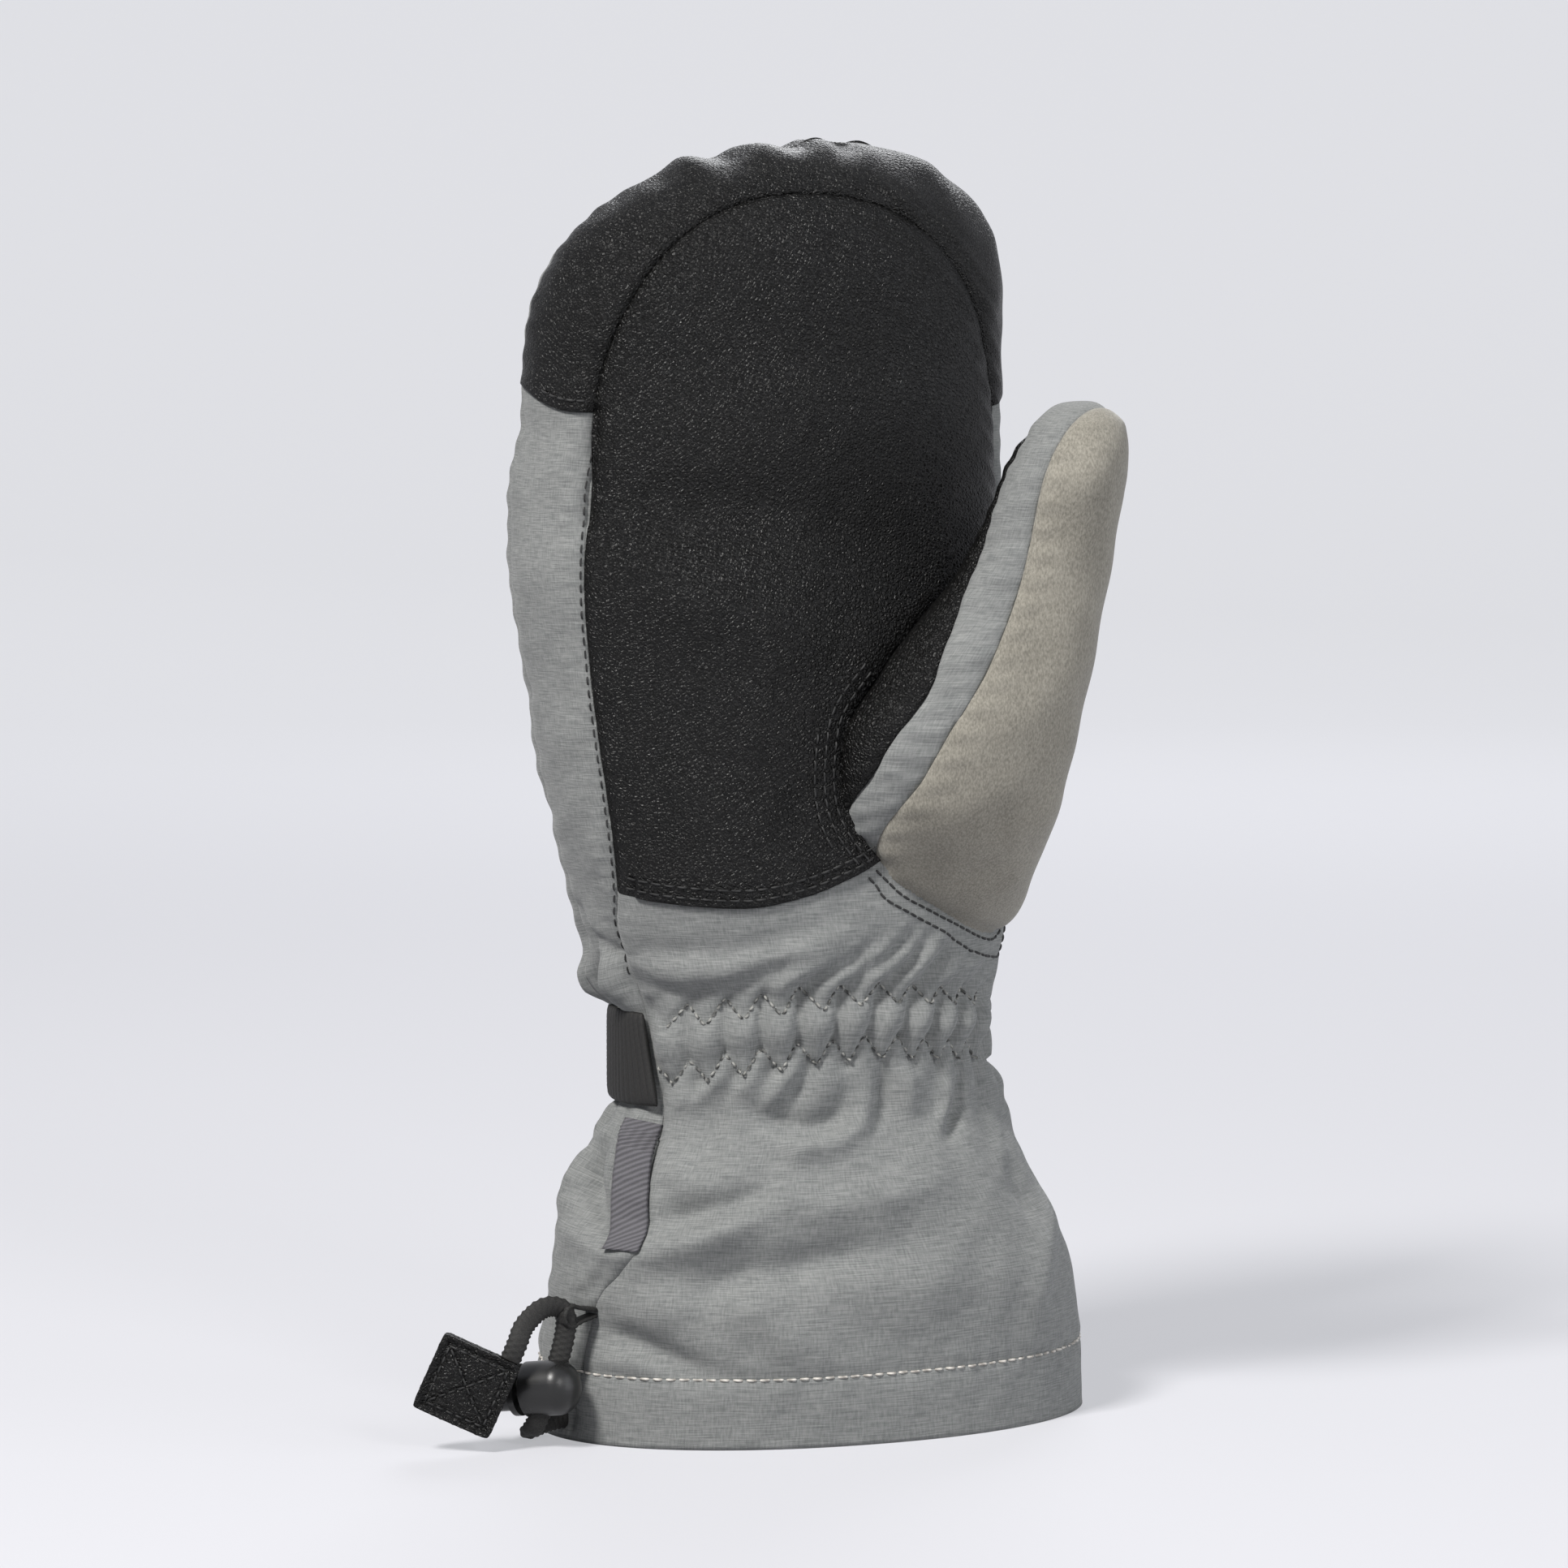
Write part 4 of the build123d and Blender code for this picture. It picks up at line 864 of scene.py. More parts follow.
# slubby two-tone cloth: a color factor and a height, from coordinates in metres
def makeHeatherGroup():
    group, inside, out = newGroup(
        "heatherCloth", [("Vector", "Vector", None), ("Threads per mm", "Float", 3.2)],
        [("Tone", "Float"), ("Height", "Float")])
    link = group.links.new
    inMm = addNode(group, "VectorMath", [("Vector", inside.outputs["Vector"])], operation="SCALE",
                   Scale=1000.0)
    fine = addNode(group, "VectorMath", [("Vector", inMm.outputs[0])], operation="SCALE")
    link(inside.outputs["Threads per mm"], fine.inputs["Scale"])
    warp = addNode(group, "SeparateXYZ", [("Vector", fine.outputs[0])])
    waves = []
    for axis in ("X", "Y"):
        turn = addNode(group, "Math", [(0, warp.outputs[axis])], operation="MULTIPLY")
        turn.inputs[1].default_value = 2 * math.pi
        waves.append(addNode(group, "Math", [(0, turn.outputs[0])], operation="SINE"))
    both = addNode(group, "Math", [(0, waves[0].outputs[0]), (1, waves[1].outputs[0])], operation="MULTIPLY")
    stretch = addNode(group, "VectorMath", [(0, inMm.outputs[0])], operation="MULTIPLY")
    stretch.inputs[1].default_value = (0.16, 3.1, 1)
    slub = addNode(group, "TexNoise", [("Vector", stretch.outputs[0])], Scale=1.0, Detail=3.0, Roughness=0.65)
    cross = addNode(group, "VectorMath", [(0, inMm.outputs[0])], operation="MULTIPLY")
    cross.inputs[1].default_value = (2.6, 0.35, 1)
    warpNoise = addNode(group, "TexNoise", [("Vector", cross.outputs[0])], Scale=1.0, Detail=2.0,
                        Roughness=0.6)
    cloud = addNode(group, "TexNoise", [("Vector", inMm.outputs[0])], Scale=0.045, Detail=3.0, Roughness=0.5)
    mixed = addNode(group, "Mix", [("A", slub.outputs["Fac"]), ("B", warpNoise.outputs["Fac"])], Factor=0.36)
    wide = addNode(group, "MapRange", [("Value", mixed.outputs["Result"])], From_Min=0.38, From_Max=0.62)
    weave = addNode(group, "MapRange", [("Value", both.outputs[0])], From_Min=-1.0, From_Max=1.0)
    tone = addNode(group, "Mix", [("A", wide.outputs[0]), ("B", cloud.outputs["Fac"])], Factor=0.18)
    woven = addNode(group, "Mix", [("A", tone.outputs["Result"]), ("B", weave.outputs[0])], Factor=0.22)
    height = addNode(group, "Mix", [("A", weave.outputs[0]), ("B", wide.outputs[0])], Factor=0.5)
    link(woven.outputs["Result"], out.inputs["Tone"])
    link(height.outputs["Result"], out.inputs["Height"])
    return group


# leather pebbles: cells with creases between them, as a height and a crease mask
def makeGrainGroup():
    group, inside, out = newGroup("leatherGrain", [("Vector", "Vector", None), ("Size mm", "Float", 1.0)],
                                  [("Height", "Float"), ("Crease", "Float"), ("Cloud", "Float")])
    link = group.links.new
    inMm = addNode(group, "VectorMath", [("Vector", inside.outputs["Vector"])], operation="SCALE",
                   Scale=1000.0)
    per = addNode(group, "Math", [(1, inside.outputs["Size mm"])], operation="DIVIDE")
    per.inputs[0].default_value = 1.0
    scaled = addNode(group, "VectorMath", [("Vector", inMm.outputs[0]), ("Scale", per.outputs[0])],
                     operation="SCALE")
    wobble = addNode(group, "TexNoise", [("Vector", scaled.outputs[0])], Scale=0.8, Detail=2.0)
    bent = addNode(group, "VectorMath", [(0, wobble.outputs["Color"]), (2, scaled.outputs[0])],
                   operation="MULTIPLY_ADD")
    bent.inputs[1].default_value = (0.9, 0.9, 0.9)
    cells = addNode(group, "TexVoronoi", [("Vector", bent.outputs[0])], feature="DISTANCE_TO_EDGE", Scale=1.0)
    worms = addNode(group, "TexNoise", [("Vector", scaled.outputs[0])], Scale=1.1, Detail=2.0, Roughness=0.5)
    ridge = addNode(group, "MapRange", [("Value", worms.outputs["Fac"])], From_Min=0.35, From_Max=0.62)
    edge = addNode(group, "MapRange", [("Value", cells.outputs["Distance"])], From_Min=0.0, From_Max=0.3)
    height = addNode(group, "Mix", [("A", edge.outputs[0]), ("B", ridge.outputs[0])], Factor=0.3)
    crease = addNode(group, "Math", [(1, height.outputs["Result"])], operation="SUBTRACT")
    crease.inputs[0].default_value = 1.0
    cloud = addNode(group, "TexNoise", [("Vector", inMm.outputs[0])], Scale=0.04, Detail=3.0)
    link(height.outputs["Result"], out.inputs["Height"])
    link(crease.outputs[0], out.inputs["Crease"])
    link(cloud.outputs["Fac"], out.inputs["Cloud"])
    return group


heatherGroup, grainGroup = makeHeatherGroup(), makeGrainGroup()


def mixColor(tree, factor, a, b):
    node = addNode(tree, "Mix", [("Factor", factor)], data_type="RGBA")
    sockets = [i for i in node.inputs if i.type == "RGBA"]
    for socket, value in zip(sockets, (a, b)):
        if isinstance(value, tuple):
            socket.default_value = (*value, 1)
        else:
            tree.links.new(value, socket)
    return [o for o in node.outputs if o.type == "RGBA"][0]


# relief from a height in the cloth's or the leather's own surface
def addRelief(tree, shader, height, strength, distance=0.0002):
    relief = addNode(tree, "Bump", [("Height", height)], Strength=strength, Distance=distance)
    tree.links.new(relief.outputs[0], shader.inputs["Normal"])


def clothMaterial(name, dark, light, threads=3.2, rough=0.86, bump=0.12):
    material, tree, shader = newMaterial(name, Roughness=rough)
    shader.inputs["Sheen Weight"].default_value = 0.18
    shader.inputs["Sheen Roughness"].default_value = 0.45
    shader.inputs["Specular IOR Level"].default_value = 0.3
    where = addNode(tree, "TexCoord").outputs["UV"]
    cloth = addNode(tree, "Group", node_tree=heatherGroup)
    tree.links.new(where, cloth.inputs["Vector"])
    cloth.inputs["Threads per mm"].default_value = threads
    tree.links.new(mixColor(tree, cloth.outputs["Tone"], dark, light), shader.inputs["Base Color"])
    addRelief(tree, shader, cloth.outputs["Height"], bump, 0.0003)
    return material


def leatherMaterial(name, dark, light, size, bump, rough):
    material, tree, shader = newMaterial(name)
    shader.inputs["Specular IOR Level"].default_value = 0.23
    where = addNode(tree, "TexCoord").outputs["Object"]
    grain = addNode(tree, "Group", node_tree=grainGroup)
    tree.links.new(where, grain.inputs["Vector"])
    grain.inputs["Size mm"].default_value = size
    tree.links.new(mixColor(tree, grain.outputs["Crease"], light, dark), shader.inputs["Base Color"])
    gloss = addNode(tree, "MapRange", [("Value", grain.outputs["Cloud"])], From_Min=0.3, From_Max=0.7,
                    To_Min=rough - 0.06, To_Max=rough + 0.08)
    tree.links.new(gloss.outputs[0], shader.inputs["Roughness"])
    addRelief(tree, shader, grain.outputs["Height"], bump, 0.0003)
    return material


def suedeMaterial(name, dark, light):
    material, tree, shader = newMaterial(name, Roughness=0.95)
    shader.inputs["Sheen Weight"].default_value = 0.35
    shader.inputs["Sheen Roughness"].default_value = 0.5
    shader.inputs["Specular IOR Level"].default_value = 0.15
    where = addNode(tree, "TexCoord").outputs["Object"]
    brushed = addNode(tree, "Mapping", [("Vector", where)])
    brushed.inputs["Rotation"].default_value = (0.0, 0.35, 0.4)
    brushed.inputs["Scale"].default_value = (2300, 2300, 1100)
    nap = addNode(tree, "TexNoise", [("Vector", brushed.outputs[0])], Scale=1.0, Detail=3.0, Roughness=0.6)
    soft = addNode(tree, "TexNoise", [("Vector", where)], Scale=70.0, Detail=4.0, Roughness=0.6)
    stroke = addNode(tree, "MapRange", [("Value", nap.outputs["Fac"])], From_Min=0.34, From_Max=0.66)
    cloud = addNode(tree, "MapRange", [("Value", soft.outputs["Fac"])], From_Min=0.3, From_Max=0.7)
    both = addNode(tree, "Mix", [("A", cloud.outputs[0]), ("B", stroke.outputs[0])], Factor=0.72)
    tree.links.new(mixColor(tree, both.outputs["Result"], dark, light), shader.inputs["Base Color"])
    addRelief(tree, shader, nap.outputs["Fac"], 0.35, 0.0003)
    return material


# twisted thread: fine slanting bands on the piece's own UV
def threadMaterial(name, dark, light, pitch=0.7):
    material, tree, shader = newMaterial(name, Roughness=0.62)
    where = addNode(tree, "TexCoord").outputs["UV"]
    bands = addNode(tree, "TexWave", [("Vector", where)], Scale=1000.0 / pitch / 6.28, Distortion=1.5,
                    Detail=2.0)
    bands.bands_direction = "DIAGONAL"
    tree.links.new(mixColor(tree, bands.outputs["Fac"], dark, light), shader.inputs["Base Color"])
    addRelief(tree, shader, bands.outputs["Fac"], 0.5)
    return material


def twillMaterial(name, dark, light, pitch=0.62):
    material, tree, shader = newMaterial(name, Roughness=0.72)
    shader.inputs["Sheen Weight"].default_value = 0.12
    where = addNode(tree, "TexCoord").outputs["UV"]
    turned = addNode(tree, "Mapping", [("Vector", where)])
    turned.inputs["Rotation"].default_value = (0, 0, math.radians(58))
    bands = addNode(tree, "TexWave", [("Vector", turned.outputs[0])], Scale=1000.0 / pitch / 6.28,
                    Distortion=0.8, Detail=1.0)
    knots = addNode(tree, "TexNoise", [("Vector", where)], Scale=2600.0, Detail=2.0)
    both = addNode(tree, "Mix", [("A", bands.outputs["Fac"]), ("B", knots.outputs["Fac"])], Factor=0.4)
    tree.links.new(mixColor(tree, both.outputs["Result"], dark, light), shader.inputs["Base Color"])
    addRelief(tree, shader, bands.outputs["Fac"], 0.5)
    return material


def braidMaterial(name, dark, light, threads=2.2):
    material, tree, shader = newMaterial(name, Roughness=0.66)
    shader.inputs["Specular IOR Level"].default_value = 0.4
    where = addNode(tree, "TexCoord").outputs["UV"]
    scaled = addNode(tree, "VectorMath", [("Vector", where)], operation="SCALE", Scale=1000.0 * threads)
    strands = addNode(tree, "TexNoise", [("Vector", scaled.outputs[0])], Scale=1.6, Detail=3.0, Roughness=0.7)
    fibre = addNode(tree, "MapRange", [("Value", strands.outputs["Fac"])], From_Min=0.35, From_Max=0.7)
    tree.links.new(mixColor(tree, fibre.outputs[0], dark, light), shader.inputs["Base Color"])
    addRelief(tree, shader, strands.outputs["Fac"], 0.5)
    return material


def plasticMaterial(name, color, rough):
    material, tree, shader = newMaterial(name, **{"Base Color": color})
    where = addNode(tree, "TexCoord").outputs["Object"]
    speck = addNode(tree, "TexNoise", [("Vector", where)], Scale=2400.0, Detail=2.0)
    wear = addNode(tree, "TexNoise", [("Vector", where)], Scale=160.0, Detail=3.0)
    gloss = addNode(tree, "MapRange", [("Value", wear.outputs["Fac"])], From_Min=0.3, From_Max=0.7,
                    To_Min=rough - 0.07, To_Max=rough + 0.07)
    tree.links.new(gloss.outputs[0], shader.inputs["Roughness"])
    addRelief(tree, shader, speck.outputs["Fac"], 0.08, 0.0001)
    return material


def steelMaterial(name):
    material, tree, shader = newMaterial(name, Metallic=1.0, **{"Base Color": (0.55, 0.55, 0.56)})
    where = addNode(tree, "TexCoord").outputs["Object"]
    drawn = addNode(tree, "TexNoise", [("Vector", where)], Scale=900.0, Detail=2.0)
    gloss = addNode(tree, "MapRange", [("Value", drawn.outputs["Fac"])], To_Min=0.22, To_Max=0.42)
    tree.links.new(gloss.outputs[0], shader.inputs["Roughness"])
    return material


finishes = {
    "shell_fabric": clothMaterial("shellFabric", (0.118, 0.127, 0.128), (0.345, 0.352, 0.345), bump=0.3),
    "palm_leather": leatherMaterial("palmLeather", (0.0003, 0.0003, 0.0003), (0.0055, 0.0052, 0.0048),
                                    0.95, 1.0, 0.36),
    "thumb_suede": suedeMaterial("thumbSuede", (0.18, 0.17, 0.143), (0.375, 0.355, 0.305)),
    "webbing": braidMaterial("webbing", (0.004, 0.004, 0.004), (0.03, 0.029, 0.027)),
    "cord": braidMaterial("cordBraid", (0.004, 0.004, 0.004), (0.028, 0.027, 0.025)),
    "label_twill": twillMaterial("labelTwill", (0.035, 0.034, 0.038), (0.15, 0.145, 0.162)),
    "lock_plastic": plasticMaterial("lockPlastic", (0.012, 0.012, 0.012), 0.33),
    "buckle_plastic": plasticMaterial("bucklePlastic", (0.012, 0.012, 0.012), 0.4),
    "spring_steel": steelMaterial("springSteel"),
    "elastic": braidMaterial("elastic", (0.3, 0.3, 0.3), (0.6, 0.6, 0.6)),
    "filling": braidMaterial("filling", (0.6, 0.59, 0.56), (0.8, 0.79, 0.76), 0.6),
    "membrane": clothMaterial("membrane", (0.55, 0.56, 0.57), (0.68, 0.69, 0.7), 5.0),
    "lining": clothMaterial("lining", (0.02, 0.02, 0.021), (0.06, 0.06, 0.062), 2.0, 0.95, 0.3),
}
threads = {
    "gray": threadMaterial("grayThread", (0.05, 0.052, 0.05), (0.34, 0.34, 0.32)),
    "pale": threadMaterial("paleThread", (0.34, 0.32, 0.29), (0.72, 0.69, 0.64)),
    "black": threadMaterial("blackThread", (0.003, 0.003, 0.003), (0.024, 0.024, 0.024)),
}


def finish(piece, slot, material=None):
    piece.data.materials.clear()
    piece.data.materials.append(material or finishes[slot])


bodySlots = {"palmPatch": "palm_leather", "fingerCap": "palm_leather"}
for name, piece in bodyPieces.items():
    finish(piece, bodySlots.get(name, "shell_fabric"))
finish(hemBand, "shell_fabric")
thumbSlots = {"thumbLeather": "palm_leather", "thumbGusset": "shell_fabric", "thumbSuede": "thumb_suede"}
for name, piece in thumbPieces.items():
    finish(piece, thumbSlots[name])
for name, piece in layerPieces.items():
    finish(piece, "filling" if "Fill" in name else "membrane" if "embrane" in name else "lining")
print("stage: materials")

stitchShape = {"length": 2.7, "gap": 0.55, "radius": 0.28, "rise": 0.18, "sides": 6}
tightStitch = {**stitchShape, "length": 2.3, "gap": 0.2, "radius": 0.3}


# rows of single stitches, each a short bent capsule whose ends go into the cloth
def stitchRow(name, points, normals, thread, carrier, shape=stitchShape):
    points, normals = np.asarray(points), np.asarray(normals)
    run = np.concatenate([[0], np.cumsum(np.linalg.norm(np.diff(points, axis=0), axis=1))])
    starts = np.arange(0.3, run[-1] - shape["length"], shape["length"] + shape["gap"])
    shares = np.array([0, 0.1, 0.3, 0.5, 0.7, 0.9, 1.0])
    heights = np.array([-0.32, 0.0, 0.9, 1.0, 0.9, 0.0, -0.32])
    thick = np.array([0.35, 0.9, 1.0, 1.0, 1.0, 0.9, 0.35]) * shape["radius"]
    at = starts[:, None] + shares[None, :] * shape["length"]
    spot = np.stack([np.interp(at, run, points[:, k]) for k in range(3)], -1)
    up = np.stack([np.interp(at, run, normals[:, k]) for k in range(3)], -1)
    up = unit(up)
    side = unit(np.cross(unit(np.gradient(spot, axis=1)), up))
    spot = spot + up * (np.where(heights > 0, heights * shape["rise"], heights))[None, :, None]
    turn = np.arange(shape["sides"]) * 2 * math.pi / shape["sides"]
    spoke = side[:, :, None, :] * np.cos(turn)[:, None] + up[:, :, None, :] * np.sin(turn)[:, None]
    ring = spot[:, :, None, :] + thick[None, :, None, None] * spoke
    count, rings, sides = ring.shape[:3]
    faces = [face for c in range(count) for face in tubeFaces(rings, sides, True, c * rings * sides)]
    uv = np.stack([np.broadcast_to((turn * shape["radius"])[None, None, :], ring.shape[:3]).ravel(),
                   np.broadcast_to(at[:, :, None], ring.shape[:3]).ravel()], 1)
    piece = makeMesh(name, ring.reshape(-1, 3), faces, uv)
    finish(piece, carrier, threads[thread])
    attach(piece, "mitten")


# a row over the palm side through points given by x and height
def rowOver(name, x, z, thread, carrier, lap=False, step=1.0, shape=stitchShape):
    dense = evenRun(np.stack([x, 0 * np.asarray(x, float), z], 1), step)
    u, v = palmPlace(dense[:, 0], dense[:, 2])
    stitchRow(name, *clothPoints(u, v, lap), thread, carrier, shape)


# a gathering seam along its corners, over the palm side from seam to seam
def zigzag(name, row):
    corners = np.array([corner for corner in wrist[row] if -47.5 < corner[0] < 40])
    near = np.linspace(0, 1, 7)[:-1, None]
    line = np.concatenate([a + (b - a) * near for a, b in zip(corners, corners[1:])] + [corners[-1:]])
    line[1:-1] = (line[:-2] + 4 * line[1:-1] + line[2:]) / 6
    fine = {**stitchShape, "length": 1.9, "gap": 0.25, "radius": 0.33, "rise": 0.42}
    rowOver(name, line[:, 0], line[:, 1], "gray", "shell_fabric", step=0.4, shape=fine)


zigzag("zigzagUpper", "upper")
zigzag("zigzagLower", "lower")

u = np.linspace(0, 1, 500)
v = np.interp(seams["hem"] - 0.2, bodyForm["z"], bodyForm["run"]) + 0 * u
stitchRow("hemStitches", *clothPoints(u, v), "pale", "shell_fabric", {**stitchShape, "radius": 0.33})

patchX = np.linspace(-56, 3, 60)
patchZ = smoothAlong(*np.array(seams["patchBottom"], float).T, patchX)
for k, inset in enumerate((1.9, 4.4)):
    rowOver(f"patchStitches{k + 1}", patchX, patchZ + inset, "black", "palm_leather", True)

seamZ = np.linspace(112, 240, 260)
seamTurn = math.pi + np.radians(smoothAlong(*np.array(seams["left"], float).T, seamZ)) - 0.9 / 48
seamV = np.interp(seamZ, bodyForm["z"], bodyForm["run"])
stitchRow("seamStitches", *clothPoints((seamTurn - bodyForm["start"]) / (2 * math.pi), seamV), "black",
          "shell_fabric", {**tightStitch, "gap": 0.9, "radius": 0.22})

turn = np.radians(np.linspace(194, 215, 60))
u = (turn - bodyForm["start"]) / (2 * math.pi)
z = seams["capFront"] + 0 * u
for _ in range(3):
    v = np.interp(z, bodyForm["z"], bodyForm["run"])
    y = formPoint(bodyForm, u, v)[:, 1]
    z = seams["capFront"] + 2.7 + (seams["capSide"] - seams["capFront"]) * smoothStep(
        0, 20, y + 0.55 * np.interp(z, bodyForm["z"], bodyForm["b"]))
stitchRow("capStitches", *clothPoints(u, np.interp(z, bodyForm["z"], bodyForm["run"]), True), "black",
          "palm_leather", tightStitch)


# a row at an even distance round the thumb's seam, found by going out from the thumb's middle
def holeRow(name, away, fromTurn, toTurn, thread, carrier, lap):
    middleU, middleV = formPlace(bodyForm, np.array([22.0, -30.0, 156.0]))
    turns = np.radians(np.linspace(fromTurn, toTurn, 110))
    near, far = np.full(turns.shape, 12.0), np.full(turns.shape, 56.0)
    for _ in range(22):
        half = (near + far) / 2
        gap = sampleGrid(bodyGrid, bodyForm, middleU + half * np.cos(turns) / girth,
                         middleV + half * np.sin(turns))["distances"]["hole"]
        near, far = np.where(gap < away, half, near), np.where(gap < away, far, half)
    u, v = middleU + near * np.cos(turns) / girth, middleV + near * np.sin(turns)
    stitchRow(name, *clothPoints(u, v, lap), thread, carrier, stitchShape if lap else tightStitch)


for k, away in enumerate((1.8, 4.3)):
    holeRow(f"thumbSeamLeather{k + 1}", away, 118, 222, "black", "palm_leather", True)
    holeRow(f"thumbSeamCloth{k + 1}", away, 224, 357, "black", "shell_fabric", False)
holeRow("thumbSeamLeather3", 6.8, 150, 205, "black", "palm_leather", True)
print("stage: stitches")

# out of the hem, under the lock, up through it, round in the keeper and down into the tab
cordRoute = [(-66.89, -8.76, 5.0), (-73.53, -10.96, 5.0), (-80.2, -14.0, 3.2), (-79.52, -19.73, 5.157),
             (-69.4, -18.2, 32.0), (-76.4, -18.8, 35.2), (-83.0, -20.2, 30.6), (-85.28, -22.50, 26.50),
             (-87.0, -21.8, 22.4)]
cordShape = {"length": 71.0, "diameter": 3.6, "wide": 2.5, "thick": 1.32, "facing": (-0.375, -0.927, 0.0),
             "braid": 1.5, "braidHeight": 0.13}


# points read from the smooth spline through the route
def cordLine(points):
    data = bpy.data.curves.new("cordLine", "CURVE")
    data.dimensions = "3D"
    data.resolution_u = 24
    spline = data.splines.new("NURBS")
    spline.points.add(len(points) - 1)
    for point, place in zip(spline.points, points):
        point.co = (*[c * mm for c in place], 1)
    spline.order_u = 3
    spline.use_endpoint_u = True
    holder = bpy.data.objects.new("cordLine", data)
    bpy.context.scene.collection.objects.link(holder)
    bpy.context.view_layer.update()
    mesh = bpy.data.meshes.new_from_object(holder.evaluated_get(bpy.context.evaluated_depsgraph_get()))
    line = np.array([v.co for v in mesh.vertices]) / mm
    bpy.data.objects.remove(holder)
    bpy.data.curves.remove(data)
    bpy.data.meshes.remove(mesh)
    return line


# a flat braided cord along a line, its strands standing up as small diamonds
def braidTube(name, line, shape, sides=28, step=0.3):
    line = evenRun(line, step)
    way = unit(np.gradient(line, axis=0))
    wide = unit(np.cross(way, np.array(shape["facing"])))
    for k in range(1, len(wide)):
        if wide[k] @ wide[k - 1] < 0:
            wide[k] = -wide[k]
    even = [np.convolve(np.pad(wide[:, i], 12, mode="edge"), np.ones(25) / 25, "valid") for i in range(3)]
    wide = unit(np.stack(even, 1))
    wide = unit(wide - way * (wide * way).sum(1, keepdims=True))
    thin = np.cross(way, wide)
    turn = np.arange(sides) * 2 * math.pi / sides
    run = np.arange(len(line)) * step
    lay = math.pi * run[:, None] / shape["braid"]
    weave = np.abs(np.sin(2 * turn[None, :] + lay)) * np.abs(np.sin(2 * turn[None, :] - lay))
    grow = 1 + shape["braidHeight"] * (weave - 0.5)
    flatWise = (np.cos(turn)[None, :] * shape["wide"] * grow)[..., None]
    thinWise = (np.sin(turn)[None, :] * shape["thick"] * grow)[..., None]
    ring = line[:, None, :] + wide[:, None, :] * flatWise + thin[:, None, :] * thinWise
    uv = np.stack([np.broadcast_to(turn * 1.8, ring.shape[:2]).ravel(),
                   np.broadcast_to(run[:, None], ring.shape[:2]).ravel()], 1)
    return makeMesh(name, ring.reshape(-1, 3), tubeFaces(len(line), sides), uv)


cordPath = cordLine(cordRoute)
drawcord = braidTube("drawcord", cordPath, cordShape)
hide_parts("drawcord")
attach(drawcord, "mitten")
finish(drawcord, "cord")


# a flat strap along a line: sides points across it and normals out of its face
def ribbon(name, centres, sides, normals, width, thick, lift=None, across=13, crown=0.0):
    centres, sides, normals = np.asarray(centres), unit(np.asarray(sides)), unit(np.asarray(normals))
    t = np.linspace(-1, 1, across)
    run = np.concatenate([[0], np.cumsum(np.linalg.norm(np.diff(centres, axis=0), axis=1))])
    edge = 0.5 * thick * (1 - np.abs(t) ** 8)[None, :] ** 0.5 + 0 * run[:, None]
    outer = edge
    if lift is not None:
        outer = outer + lift(run[:, None], t[None, :] * width / 2) * (1 - np.abs(t) ** 12)[None, :]
    outer = outer + crown * (1 - t ** 2)[None, :]
    inner = crown * (1 - t ** 2)[None, :] - edge
    offsets = np.concatenate([outer, inner[:, 1:-1][:, ::-1]], 1)
    places = np.concatenate([t, t[1:-1][::-1]]) * width / 2
    ring = (centres[:, None, :] + sides[:, None, :] * places[None, :, None]
            + normals[:, None, :] * offsets[:, :, None])
    rings, per = ring.shape[:2]
    uv = np.stack([np.broadcast_to(places[None, :], (rings, per)).ravel(),
                   np.broadcast_to(run[:, None], (rings, per)).ravel()], 1)
    piece = makeMesh(name, ring.reshape(-1, 3), tubeFaces(rings, per), uv)
    fixNormals(piece)
    return piece


def fixNormals(piece):
    bpy.ops.object.select_all(action="DESELECT")
    piece.select_set(True)
    bpy.context.view_layer.objects.active = piece
    bpy.ops.object.mode_set(mode="EDIT")
    bpy.ops.mesh.select_all(action="SELECT")
    bpy.ops.mesh.normals_make_consistent(inside=False)
    bpy.ops.object.mode_set(mode="OBJECT")
    piece.select_set(False)


# points round the waist, a lift off the cloth's form, with the outward directions
def waistLine(fromTurn, toTurn, lift, height=92.0, step=0.2):
    turns = np.radians(np.linspace(fromTurn, toTurn, 400))
    u = (turns - bodyForm["start"]) / (2 * math.pi)
    v = np.interp(height, bodyForm["z"], bodyForm["run"]) + 0 * u
    out = levelOut(bodyForm, u, v)
    spot = formPoint(bodyForm, u, v) + out * lift
    run = np.concatenate([[0], np.cumsum(np.linalg.norm(np.diff(spot, axis=0), axis=1))])
    at = np.arange(0, run[-1], step)
    pick = lambda table: np.stack([np.interp(at, run, table[:, k]) for k in range(3)], 1)
    return pick(spot), pick(out)


strapShape = {"rib": 1.75, "ribHeight": 0.32, "thick": 1.5}


# raised ribs across the elastic webbing, with a fine knit along them
def ribs(run, across):
    return (strapShape["ribHeight"] * (np.abs(np.cos(math.pi * run / strapShape["rib"])) ** 0.6 - 0.5)
            + 0.05 * np.cos(2 * math.pi * across / 0.9 + math.pi * np.round(run / strapShape["rib"])))


# a stretch of webbing round the waist; slant leans its far end to the seam
def webbing(name, node, fromTurn, toTurn, lift, width, thick, slant=0.0, step=0.22):
    centres, out = waistLine(fromTurn, toTurn, lift + thick / 2, step=step)
    lean = slant * smoothStep(-14, 0, (np.arange(len(centres)) - len(centres)) * step)
    up = np.array([0.0, 0.0, 1.0]) - unit(np.gradient(centres, axis=0)) * lean[:, None]
    piece = ribbon(name, centres, up, out, width, thick, ribs, across=41)
    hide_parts(node)
    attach(piece, "mitten")
    finish(piece, "webbing")


